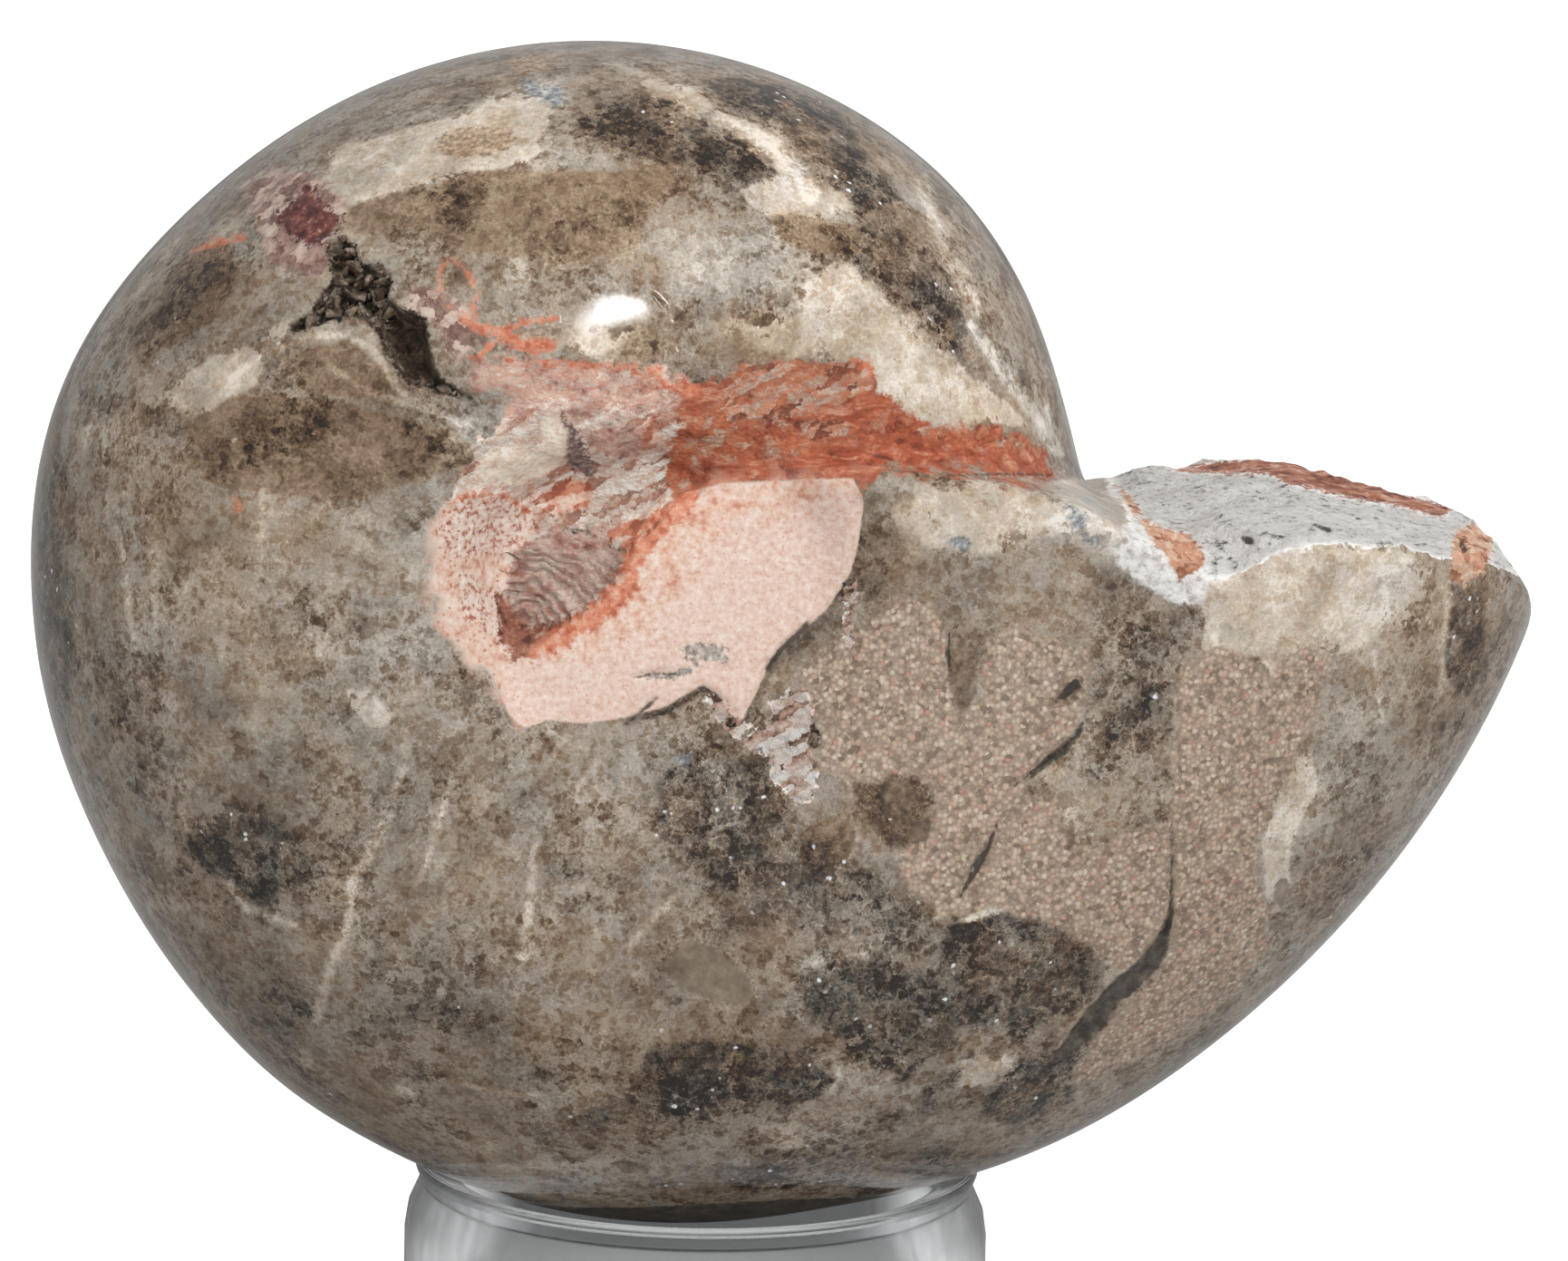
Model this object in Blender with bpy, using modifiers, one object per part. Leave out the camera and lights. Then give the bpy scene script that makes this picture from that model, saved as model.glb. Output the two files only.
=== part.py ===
"""Polished ammonite, upright in a clear ring.

Everything is modelled with the coil's axis along Y through the origin. The stone is then turned
a little to lie in its ring, and all of it is set down so that the origin is the middle of the
base. +X points to the mouth's beak, +Z up, and -Y out of the side with the smooth pink lens.
"""

import math

import bmesh
import bpy
from mathutils import Matrix, Vector, noise

MM = 0.001

# The coil seen from its side. Angles run counter-clockwise from +X, in degrees. The shell has
# its notch near 0 and its mouth one turn later near 360. The outline's radii start at the origin.
RADIUS_AT_START = 42.0 * MM
RADIUS_PER_DEGREE = 0.0504 * MM
FLARE_FROM = 285.0
FLARE_TO = 372.0
FLARE = 0.015 * MM
FLARE_POWER = 1.65

# Where the outline stands out of the even coil or falls inside it: angle, height and spread
SWELLS = (
    (18.0, -2.4 * MM, 22.0),
    (160.0, 1.3 * MM, 18.0),
    (205.0, -0.5 * MM, 14.0),
    (228.0, -2.2 * MM, 40.0),
    (235.0, 0.4 * MM, 10.0),
    (308.0, 0.8 * MM, 16.0),
)

# The umbilicus, along X and Z, which the inner edge of every whorl section turns about
UMBILICUS = Vector((2.0 * MM, 0.0, 7.0 * MM))

# Half thickness of the whorl
THIN_HALF = 26.5 * MM
THICK_HALF = 34.0 * MM
THICKEST_AT = 275.0
LIP_HALF = 31.0 * MM

# One whorl section: where it is widest and where its inner edge lies, as shares of the radius
WIDEST_SHARE = 0.42
INNER_SHARE = 0.13
OUTER_FULLNESS = 2.25
INNER_FULLNESS = 3.0
SECTION_POINTS = 40
DEGREES_PER_SECTION = 5.0

# The two lofts that make the coil, which overlap at the left
OLD_WHORL = (-60.0, 215.0)
BODY_WHORL = (185.0, 430.0)

# The mouth face seen from the side, out to the beak, and the rise of the front lobe that laps the
# older whorl. The face tips a little to the back, is broken rough, and its front edge is chipped.
MOUTH_PROFILE = (
    (40.0, 5.6), (47.0, 7.2), (52.0, 7.8), (58.0, 7.9), (63.0, 6.7), (67.0, 5.7),
    (71.0, 5.2), (74.0, 3.8), (76.4, 1.8), (77.9, -1.2), (80.0, -6.0),
)
LOBE_RISE = ((20.0, 8.0), (30.0, 7.3), (38.0, 5.0), (43.0, 2.0), (47.0, 0.0))
LOBE_FADE = 12.0 * MM
MOUTH_TILT = 0.056
MOUTH_ROUGHNESS = 0.8 * MM
MOUTH_LUMPS = 9.0 * MM
ROUGH_FROM = 44.0
ROUGH_TO = 72.0
ROUGH_BLEND = 5.0
CHIP_PLACE = (50.0 * MM, -29.0 * MM)
CHIP_SPREAD = 4.5 * MM
CHIP_DEPTH = 3.6 * MM
CUTTER_MIDDLE = 40.0 * MM
CUTTER_REACH = 70.0 * MM
CUTTER_TOP = 100.0 * MM
CUTTER_STEP = 2.0 * MM

# Matrix in the umbilicus: a smooth lens nearly flush with the last whorl, and the rougher, lower
# floor round it. Each face leans back as it rises: half thickness at the middle, and the lean.
LENS_OUTLINE = (
    (-10.5, 0.0), (-3.1, 2.8), (0.5, 9.0), (4.0, 12.3), (9.0, 14.0), (21.0, 14.0),
    (24.0, 6.0), (19.0, -5.0), (8.0, -10.0), (-8.0, -12.0), (-14.0, -7.0),
)
LENS_HALF = 29.4 * MM
FLOOR_RADIUS = 17.0 * MM
FLOOR_HALF = 26.8 * MM
FLOOR_SIDES = 48
FACE_LEAN = 0.16

# The knot of curled shell in the rough part, and the ragged dark pocket in the upper flank
KNOT_CENTRE = Vector((-5.6 * MM, -26.0 * MM, 5.6 * MM))
KNOT_HALVES = (5.0 * MM, 2.8 * MM, 4.6 * MM)
KNOT_RAGGEDNESS = 0.5 * MM
POCKET_CENTRE = Vector((-20.5 * MM, -31.0 * MM, 28.5 * MM))
POCKET_HALVES = (6.0 * MM, 3.9 * MM, 5.2 * MM)
POCKET_RAGGEDNESS = 1.6 * MM
SKIN_LUMPS = 4.0 * MM
SKIN_SUBDIVISIONS = 4

# How far the stone is turned in its ring, its mouth upwards
SEAT_TURN = math.radians(-1.2)

# Surface fineness of the one solid
VOXEL = 1.1 * MM
SMOOTHING_PASSES = 4
TRIANGLES_KEPT = 8200

# The clear ring: where it stands, and its radius and height from its lip over a slight neck and
# a bulge to its foot, and up its inside again
RING_CENTRE = 7.1 * MM
RING_TOP = -50.5 * MM
RING_HEIGHT = 14.0 * MM
RING_PROFILE = (
    (24.1, 14.0), (24.6, 13.5), (24.0, 12.0), (25.1, 9.5), (25.4, 7.5), (25.4, 1.0),
    (24.4, 0.0), (21.8, 0.0), (21.2, 0.6), (21.2, 12.9),
)
RING_STEPS = 64
RING_MERGE = 0.01 * MM


def clear_scene():
    for old in list(bpy.data.objects):
        bpy.data.objects.remove(old, do_unlink=True)


def collection(name):
    made = bpy.data.collections.new(name)
    bpy.context.scene.collection.children.link(made)
    return made


def material(name, colour, roughness, alpha=1.0, transmission=0.0):
    made = bpy.data.materials.new(name)
    made.use_nodes = True
    shader = made.node_tree.nodes["Principled BSDF"]
    shader.inputs["Base Color"].default_value = (*colour, 1.0)
    shader.inputs["Roughness"].default_value = roughness
    shader.inputs["Metallic"].default_value = 0.0
    shader.inputs["Alpha"].default_value = alpha
    shader.inputs["Transmission Weight"].default_value = transmission
    return made


def new_object(name, mesh, group):
    obj = bpy.data.objects.new(name, mesh)
    group.objects.link(obj)
    return obj


def smoothstep(value, low, high):
    share = min(1.0, max(0.0, (value - low) / (high - low)))
    return share * share * (3.0 - 2.0 * share)


def lumpy(point, size):
    """Noise of about one either way, in lumps of this size."""
    return noise.fractal(point / size, 1.0, 2.0, 3)


def plain_radius(angle):
    return RADIUS_AT_START + RADIUS_PER_DEGREE * angle


def outer_radius(angle):
    """The venter's distance from the axis: an even coil that flares towards the mouth."""
    flare = FLARE * max(0.0, min(angle, FLARE_TO) - FLARE_FROM) ** FLARE_POWER
    swell = sum(height * math.exp(-(((angle - at) / spread) ** 2)) for at, height, spread in SWELLS)
    return plain_radius(angle) + flare + swell


def half_thickness(angle):
    growing = smoothstep(angle, -60.0, THICKEST_AT)
    closing = smoothstep(angle, THICKEST_AT, FLARE_TO)
    return THIN_HALF + (THICK_HALF - THIN_HALF) * growing - (THICK_HALF - LIP_HALF) * closing


def power(value, fullness):
    return math.copysign(abs(value) ** (2.0 / fullness), value)


def section(angle):
    """One whorl section, from the umbilicus out to the venter."""
    turn = math.radians(angle)
    ray = Vector((math.cos(turn), 0.0, math.sin(turn)))
    venter = ray * outer_radius(angle)
    plain = (ray * plain_radius(angle) - UMBILICUS).length
    widest = UMBILICUS + ray * (WIDEST_SHARE * plain)
    inner = UMBILICUS + ray * (INNER_SHARE * plain)
    half = half_thickness(angle)
    points = []
    for index in range(SECTION_POINTS):
        around = math.tau * index / SECTION_POINTS
        outside = math.cos(around) > 0.0
        end = venter if outside else inner
        fullness = OUTER_FULLNESS if outside else INNER_FULLNESS
        point = widest.lerp(end, abs(power(math.cos(around), fullness)))
        point.y = half * power(math.sin(around), fullness)
        points.append(point)
    return points


def whorl(name, span, group):
    """A loft through growing sections, closed by a flat cap at each end."""
    first, last = span
    count = round((last - first) / DEGREES_PER_SECTION)
    mesh = bmesh.new()
    rings = []
    for step in range(count + 1):
        angle = first + (last - first) * step / count
        rings.append([mesh.verts.new(point) for point in section(angle)])
    for one, two in zip(rings, rings[1:]):
        for index in range(SECTION_POINTS):
            after = (index + 1) % SECTION_POINTS
            mesh.faces.new((one[index], one[after], two[after], two[index]))
    mesh.faces.new(rings[0])
    mesh.faces.new(rings[-1])
    return mesh_object(name, mesh, group)


def along(profile, x):
    """Height of a profile at x, level before its first point and after its last."""
    for (x0, z0), (x1, z1) in zip(profile, profile[1:]):
        if x < x1:
            return z0 + (z1 - z0) * max(0.0, (x - x0) / (x1 - x0))
    return profile[-1][1]


def mouth_height(x, y):
    """Height of the mouth face, broken rough between its lobe and its beak."""
    across = x / MM
    broken = smoothstep(across, ROUGH_FROM, ROUGH_FROM + ROUGH_BLEND)
    broken *= 1.0 - smoothstep(across, ROUGH_TO - ROUGH_BLEND, ROUGH_TO)
    rough = MOUTH_ROUGHNESS * broken * lumpy(Vector((x, y, 0.0)), MOUTH_LUMPS)
    away = math.dist((x, y), CHIP_PLACE) / CHIP_SPREAD
    chip = CHIP_DEPTH * math.exp(-away * away)
    lobe = along(LOBE_RISE, across) * (1.0 - smoothstep(y, -LOBE_FADE, LOBE_FADE))
    height = along(MOUTH_PROFILE, across) + lobe
    return height * MM - y * MOUTH_TILT + rough - chip


def mesh_object(name, mesh, group):
    data = bpy.data.meshes.new(name)
    bmesh.ops.recalc_face_normals(mesh, faces=mesh.faces)
    mesh.to_mesh(data)
    mesh.free()
    return new_object(name, data, group)


def extruded(mesh, faces):
    """Extrudes faces and gives the vertices of the far end."""
    raised = bmesh.ops.extrude_face_region(mesh, geom=faces)
    return [item for item in raised["geom"] if isinstance(item, bmesh.types.BMVert)]


def mouth_cutter(group):
    """A block whose underside is the mouth face."""
    mesh = bmesh.new()
    cells = round(2.0 * CUTTER_REACH / CUTTER_STEP)
    bmesh.ops.create_grid(mesh, x_segments=cells, y_segments=cells, size=CUTTER_REACH)
    for vert in mesh.verts:
        vert.co.x += CUTTER_MIDDLE
        vert.co.z = mouth_height(vert.co.x, vert.co.y)
    for vert in extruded(mesh, list(mesh.faces)):
        vert.co.z = CUTTER_TOP
    return mesh_object("mouth_cutter", mesh, group)


def leaning_prism(name, outline, half, group):
    """An outline in XZ carried through the shell to a leaning face on each side."""
    mesh = bmesh.new()
    verts = [mesh.verts.new((x, 0.0, z)) for x, z in outline]
    back = extruded(mesh, [mesh.faces.new(verts)])
    for side, ends in ((-1.0, verts), (1.0, back)):
        for vert in ends:
            vert.co.y = side * (half - FACE_LEAN * (vert.co.z - UMBILICUS.z))
    return mesh_object(name, mesh, group)


def matrix_lens(group):
    return leaning_prism("matrix_lens", [(x * MM, z * MM) for x, z in LENS_OUTLINE], LENS_HALF, group)


def matrix_floor(group):
    turns = [math.tau * step / FLOOR_SIDES for step in range(FLOOR_SIDES)]
    outline = [
        (UMBILICUS.x + FLOOR_RADIUS * math.cos(turn), UMBILICUS.z + FLOOR_RADIUS * math.sin(turn))
        for turn in turns
    ]
    return leaning_prism("matrix_floor", outline, FLOOR_HALF, group)


def lump(name, centre, halves, raggedness, group):
    """A rounded lump, its skin pushed in and out by noise."""
    mesh = bmesh.new()
    place = Matrix.Translation(centre) @ Matrix.Diagonal((*halves, 1.0))
    bmesh.ops.create_icosphere(mesh, subdivisions=SKIN_SUBDIVISIONS, radius=1.0, matrix=place)
    for vert in mesh.verts:
        push = raggedness * lumpy(vert.co, SKIN_LUMPS)
        vert.co += (vert.co - centre).normalized() * push
    return mesh_object(name, mesh, group)


def evaluated_mesh(obj):
    graph = bpy.context.evaluated_depsgraph_get()
    return bpy.data.meshes.new_from_object(obj.evaluated_get(graph))


def hide(obj):
    obj.hide_render = True
    obj.display_type = "WIRE"


def subtract(obj, cutter):
    cut = obj.modifiers.new("cut_" + cutter.name, "BOOLEAN")
    cut.operation = "DIFFERENCE"
    cut.solver = "EXACT"
    cut.object = cutter


def joined(name, meshes):
    """Several meshes in one, still overlapping."""
    mesh = bmesh.new()
    for part in meshes:
        mesh.from_mesh(part)
    data = bpy.data.meshes.new(name)
    mesh.to_mesh(data)
    mesh.free()
    return data


def fossil(parts, helpers):
    """The whole stone: the coil, the matrix in its umbilicus, its mouth and its pocket."""
    old = whorl("old_whorl", OLD_WHORL, helpers)
    body = whorl("body_whorl", BODY_WHORL, helpers)
    lens = matrix_lens(helpers)
    floor = matrix_floor(helpers)
    knot = lump("knot", KNOT_CENTRE, KNOT_HALVES, KNOT_RAGGEDNESS, helpers)
    cutter = mouth_cutter(helpers)
    pocket = lump("pocket_cutter", POCKET_CENTRE, POCKET_HALVES, POCKET_RAGGEDNESS, helpers)
    subtract(body, cutter)
    for helper in (old, body, lens, floor, knot, cutter, pocket):
        hide(helper)
    bpy.context.view_layer.update()
    data = joined("fossil", [evaluated_mesh(part) for part in (old, body, lens, floor, knot)])
    stone = new_object("fossil", data, parts)

    remesh = stone.modifiers.new("one_stone", "REMESH")
    remesh.mode = "VOXEL"
    remesh.voxel_size = VOXEL
    polish = stone.modifiers.new("polish", "SMOOTH")
    polish.factor = 0.5
    polish.iterations = SMOOTHING_PASSES
    subtract(stone, pocket)
    bpy.context.view_layer.update()
    count = len(evaluated_mesh(stone).polygons) * 2
    thin = stone.modifiers.new("facets", "DECIMATE")
    thin.ratio = TRIANGLES_KEPT / count
    thin.use_collapse_triangulate = True
    stone.data.shade_smooth()
    stone.data.materials.append(material("polished_calcite", (0.24, 0.18, 0.13), 0.18))

    seat = new_object("seat", None, helpers)
    seat.rotation_euler.y = SEAT_TURN
    stone.parent = seat
    pocket.parent = seat
    return stone


def ring(parts):
    """A turned clear ring: lip, slight neck, a bulge, and a flat foot."""
    mesh = bmesh.new()
    verts = [mesh.verts.new((radius * MM, 0.0, height * MM)) for radius, height in RING_PROFILE]
    for index, vert in enumerate(verts):
        mesh.edges.new((vert, verts[(index + 1) % len(verts)]))
    data = bpy.data.meshes.new("ring")
    mesh.to_mesh(data)
    mesh.free()
    stand = new_object("ring", data, parts)
    stand.location = (RING_CENTRE, 0.0, RING_TOP - RING_HEIGHT)
    screw = stand.modifiers.new("turn", "SCREW")
    screw.steps = RING_STEPS
    screw.render_steps = RING_STEPS
    screw.use_merge_vertices = True
    screw.merge_threshold = RING_MERGE
    data.materials.append(material("clear_ring", (0.9, 0.92, 0.93), 0.05, 0.3, 1.0))
    return stand


def world_points(obj):
    mesh = evaluated_mesh(obj)
    points = [obj.matrix_world @ vert.co for vert in mesh.vertices]
    bpy.data.meshes.remove(mesh)
    return points


def set_down(objects, everything):
    """Moves the parts and their cutters so that the origin is the middle of the base."""
    bpy.context.view_layer.update()
    points = [point for obj in objects for point in world_points(obj)]
    low = Vector(min(point[axis] for point in points) for axis in range(3))
    high = Vector(max(point[axis] for point in points) for axis in range(3))
    shift = Vector((-(low.x + high.x) / 2.0, -(low.y + high.y) / 2.0, -low.z))
    for obj in everything:
        if obj.parent is None:
            obj.location += shift


def main():
    clear_scene()
    parts = collection("ammonite")
    helpers = collection("ammonite_helpers")
    set_down([fossil(parts, helpers), ring(parts)], bpy.data.objects)


main()
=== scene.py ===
import math

import bmesh
import bpy
import numpy as np
from mathutils import Matrix, Vector, noise


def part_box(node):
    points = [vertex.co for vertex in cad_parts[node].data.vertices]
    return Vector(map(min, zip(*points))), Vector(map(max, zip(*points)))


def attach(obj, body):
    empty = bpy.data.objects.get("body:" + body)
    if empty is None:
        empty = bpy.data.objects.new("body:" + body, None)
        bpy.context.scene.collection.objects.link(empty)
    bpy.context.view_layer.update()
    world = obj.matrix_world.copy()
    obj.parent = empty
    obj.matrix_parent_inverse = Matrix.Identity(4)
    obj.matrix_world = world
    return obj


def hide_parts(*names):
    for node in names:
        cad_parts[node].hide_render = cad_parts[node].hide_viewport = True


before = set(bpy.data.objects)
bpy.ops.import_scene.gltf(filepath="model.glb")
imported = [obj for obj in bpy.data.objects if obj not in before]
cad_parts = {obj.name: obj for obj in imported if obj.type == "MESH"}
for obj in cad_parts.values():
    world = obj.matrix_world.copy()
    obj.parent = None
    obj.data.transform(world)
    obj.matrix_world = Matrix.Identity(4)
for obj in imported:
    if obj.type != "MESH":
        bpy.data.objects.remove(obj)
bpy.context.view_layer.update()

# The stone is made with its coil's axis along Y through the origin, in millimetres, as the CAD
# model makes it. Then it is turned a little and set down in its ring.
mm = 0.001
seating = {"turn": math.radians(-1.2), "aside": -7.1, "above": 50.5}   # mm from the ring's axis and its top
ringLow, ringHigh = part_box("ring")
ringMiddle = (ringLow + ringHigh) / 2
coilOrigin = Vector((ringMiddle.x + seating["aside"] * mm, 0.0, ringHigh.z + seating["above"] * mm))
seat = Matrix.Translation(coilOrigin) @ Matrix.Rotation(seating["turn"], 4, "Y") @ Matrix.Scale(mm, 4)

# The picture's frame: its size in pixels, and where the coil's axis meets it
photo = {
    "size": (1730, 1391),
    "axis": (690.0, 645.0),
    "mmPerPixel": 0.078,
    "distance": 700.0,
    "elevation": math.radians(11.0),
    "sensor": 36.0,
    "nearest": 0.05,
    "shown": (-0.35, -0.05),   # turned further from the camera than this, the stone is out of its sight
}

photoRight = Vector((1.0, 0.0, 0.0))
photoUp = Vector((0.0, math.sin(photo["elevation"]), math.cos(photo["elevation"])))
photoAhead = Vector((0.0, math.cos(photo["elevation"]), -math.sin(photo["elevation"])))
photoMiddle = (photo["size"][0] / 2, photo["size"][1] / 2)
cameraAside = (photoMiddle[0] - photo["axis"][0]) * photo["mmPerPixel"]
cameraAbove = (photo["axis"][1] - photoMiddle[1]) * photo["mmPerPixel"]
cameraPlace = photoRight * cameraAside + photoUp * cameraAbove - photoAhead * photo["distance"]
eye = seat @ cameraPlace


def added(name, data):
    # A new object of the scene
    obj = bpy.data.objects.new(name, data)
    bpy.context.scene.collection.objects.link(obj)
    return obj


def addCamera():
    data = bpy.data.cameras.new("camera")
    data.sensor_width = photo["sensor"]
    data.lens = photo["sensor"] * photo["distance"] / (photo["size"][0] * photo["mmPerPixel"])
    data.clip_start = photo["nearest"]
    camera = added("camera", data)
    turned = seat.to_3x3().normalized()
    axes = (turned @ photoRight, turned @ photoUp, turned @ -photoAhead)
    camera.matrix_world = Matrix.Translation(eye) @ Matrix(axes).transposed().to_4x4()
    bpy.context.scene.camera = camera


addCamera()
print("camera placed")


# Nodes: a wire is one output in a tree, and sums of wires place the Math nodes for them

mixSlots = {"FLOAT": (2, 3, 0), "VECTOR": (4, 5, 1), "RGBA": (6, 7, 2)}   # the Mix node's A, B and result


class Wire:
    def __init__(self, tree, socket):
        self.tree = tree
        self.socket = socket

    def math(self, operation, *others, clamp=False):
        values = dict(enumerate((self, *others)))
        return place(self.tree, "ShaderNodeMath", values, operation=operation, use_clamp=clamp)[0]

    def vector(self, operation, *others, output=0, **named):
        values = {**dict(enumerate((self, *others))), **named}
        return place(self.tree, "ShaderNodeVectorMath", values, operation=operation)[output]

    def length(self):
        return self.vector("LENGTH", output="Value")

    def __add__(self, other):
        return self.math("ADD", other)

    def __sub__(self, other):
        return self.math("SUBTRACT", other)

    def __mul__(self, other):
        return self.math("MULTIPLY", other)

    def __truediv__(self, other):
        return self.math("DIVIDE", other)

    def __pow__(self, other):
        return self.math("POWER", other)

    def between(self, low, high):
        # 0 below low and 1 above high
        values = {"Value": self, "From Min": low, "From Max": high}
        return place(self.tree, "ShaderNodeMapRange", values, interpolation_type="SMOOTHSTEP")["Result"]

    def mix(self, first, second, kind="FLOAT"):
        # first where this is 0, second where it is 1
        one, two, result = mixSlots[kind]
        return place(self.tree, "ShaderNodeMix", {0: self, one: first, two: second}, data_type=kind)[result]


def plug(slot, value):
    if isinstance(value, Wire):
        value.tree.links.new(value.socket, slot)
    else:
        slot.default_value = value


class Placed(dict):
    # A node's outputs as wires, by name or number
    def __init__(self, tree, node):
        super().__init__({socket.name: Wire(tree, socket) for socket in reversed(node.outputs)})
        self.update({index: Wire(tree, socket) for index, socket in enumerate(node.outputs)})
        self.node = node


def place(tree, kind, values=None, **settings):
    node = tree.nodes.new(kind)
    for name, value in settings.items():
        setattr(node, name, value)
    for name, value in (values or {}).items():
        plug(node.inputs[name], value)
    return Placed(tree, node)


socketTypes = {float: "Float", int: "Int", tuple: "Vector"}


def newTree(name, kind, inputs, outputs):
    # inputs and outputs: each name with its default, or with its type where it has none
    tree = bpy.data.node_groups.new(name, kind)
    for side, sockets in (("INPUT", inputs), ("OUTPUT", outputs)):
        for socketName, value in sockets.items():
            socketType = socketTypes.get(type(value), value)
            made = tree.interface.new_socket(socketName, in_out=side, socket_type="NodeSocket" + socketType)
            if socketType != value:
                made.default_value = value
    return tree, place(tree, "NodeGroupInput")


def closeTree(tree, values):
    place(tree, "NodeGroupOutput", values)
    return tree


def closeMesh(tree, geometry, material):
    # A tree that makes a mesh ends with real geometry in its material
    realized = place(tree, "GeometryNodeRealizeInstances", {"Geometry": geometry})[0]
    painted = place(tree, "GeometryNodeSetMaterial", {"Geometry": realized, "Material": material})[0]
    return closeTree(tree, {"Mesh": painted})


def noiseIn(spot, often, detail, roughness=0.5, output=0, dimensions="3D", **more):
    values = {"Vector": spot, "Scale": often, "Detail": detail, "Roughness": roughness, **more}
    return place(spot.tree, "ShaderNodeTexNoise", values, noise_dimensions=dimensions)[output]


# Steps that both the numbers and the node trees take

def smoothstep(value, low, high):
    share = np.clip((value - low) / (high - low), 0.0, 1.0)
    return share * share * (3.0 - 2.0 * share)


def lumpy(points, size, octaves=3, seed=0.0):
    # Noise of about one either way at each point, in lumps of this size in mm
    shift = Vector((seed, 2.0 * seed, -seed))
    return np.array([noise.fractal(Vector(p) / size + shift, 1.0, 2.0, octaves) for p in points])


def toPicture(points):
    # Pixels of the photograph at points in mm
    right, up, ahead = (points @ np.array(axis) for axis in (photoRight, photoUp, photoAhead))
    scale = photo["distance"] / (photo["distance"] + ahead) / photo["mmPerPixel"]
    across = photoMiddle[0] + (right - cameraAside) * scale
    down = photoMiddle[1] - (up - cameraAbove) * scale
    return np.stack((across, down), axis=1)


# The coil: growing whorl sections swept round the axis, angles counter-clockwise from +X

coil = {
    "startRadius": 42.0, "growthPerDegree": 0.0504,
    "flareFrom": 285.0, "flareTo": 372.0, "flare": 0.015, "flarePower": 1.65,
    "swells": ((18, -2.4, 22), (160, 1.3, 18), (205, -0.5, 14), (228, -2.2, 40), (235, 0.4, 10),
               (308, 0.8, 16)),
    "umbilicus": (2.0, 0.0, 7.0),
    "thinHalf": 26.5, "thickHalf": 34.0, "thickestAt": 275.0, "lipHalf": 31.0,
    "widestShare": 0.42, "innerShare": 0.13, "outerFullness": 2.25, "innerFullness": 3.0,
    "oldWhorl": (-60.0, 215.0), "bodyWhorl": (185.0, 430.0),
    "sectionPoints": 72, "sections": 124, "mergeWithin": 0.0005,
}


def whorlTree():
    inputs = {
        "First Angle": 0.0, "Last Angle": 90.0, "Start Radius": coil["startRadius"],
        "Growth": coil["growthPerDegree"], "Flare": coil["flare"], "Thin Half": coil["thinHalf"],
        "Thick Half": coil["thickHalf"], "Lip Half": coil["lipHalf"], "Umbilicus": coil["umbilicus"],
        "Sections": coil["sections"], "Section Points": coil["sectionPoints"], "Stone": "Material",
    }
    tree, given = newTree("whorl", "GeometryNodeTree", inputs, {"Mesh": "Geometry"})
    rows = given["Sections"] + 2.0   # the first and last rows close the ends
    columns = given["Section Points"] + 1.0
    grid = place(tree, "GeometryNodeMeshGrid", {"Vertices X": rows, "Vertices Y": columns})
    index = place(tree, "GeometryNodeInputIndex")["Index"]
    row = (index / columns + 0.0001).math("FLOOR")
    column = index - row * columns
    share = (row - 1.0).math("MAXIMUM", 0.0).math("MINIMUM", rows - 3.0) / (rows - 3.0)
    angle = given["First Angle"] + (given["Last Angle"] - given["First Angle"]) * share
    turn = angle.math("RADIANS")

    # Radius of the venter, with its flare and swells
    plain = given["Start Radius"] + given["Growth"] * angle
    past = (angle.math("MINIMUM", coil["flareTo"]) - coil["flareFrom"]).math("MAXIMUM", 0.0)
    venter = plain + given["Flare"] * past ** coil["flarePower"]
    for at, height, spread in coil["swells"]:
        away = (angle - at) / spread
        venter = venter + (away * away * -1.0).math("EXPONENT") * height

    growing = angle.between(coil["oldWhorl"][0], coil["thickestAt"])
    closing = angle.between(coil["thickestAt"], coil["flareTo"])
    half = (given["Thin Half"] + (given["Thick Half"] - given["Thin Half"]) * growing
            - (given["Thick Half"] - given["Lip Half"]) * closing)

    # The section: two half ovals that meet where it is widest
    ray = place(tree, "ShaderNodeCombineXYZ", {"X": turn.math("COSINE"), "Z": turn.math("SINE")})[0]

    def onRay(reach):
        return ray.vector("SCALE", Scale=reach)

    length = onRay(plain).vector("SUBTRACT", given["Umbilicus"]).length()
    widest, inner = (given["Umbilicus"].vector("ADD", onRay(length * coil[part]))
                     for part in ("widestShare", "innerShare"))
    around = column * math.tau / given["Section Points"]
    outside = around.math("COSINE").math("GREATER_THAN", 0.0)
    fullness = outside.mix(2.0 / coil["innerFullness"], 2.0 / coil["outerFullness"])
    end = outside.mix(inner, onRay(venter), "VECTOR")
    reach = around.math("COSINE").math("ABSOLUTE") ** fullness
    across = around.math("SINE").math("ABSOLUTE") ** fullness * around.math("SINE").math("SIGN")
    point = widest.vector("ADD", end.vector("SUBTRACT", widest).vector("SCALE", Scale=reach))
    point = point.vector("ADD", place(tree, "ShaderNodeCombineXYZ", {"Y": across * half})[0])
    unclosed = row.math("GREATER_THAN", 0.5) * row.math("LESS_THAN", rows - 1.5)
    point = unclosed.mix(widest, point, "VECTOR")

    moved = place(tree, "GeometryNodeSetPosition", {"Geometry": grid["Mesh"], "Position": point})
    merged = place(tree, "GeometryNodeMergeByDistance", {
        "Geometry": moved[0], "Distance": coil["mergeWithin"]})
    return closeMesh(tree, merged[0], given["Stone"])


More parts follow.
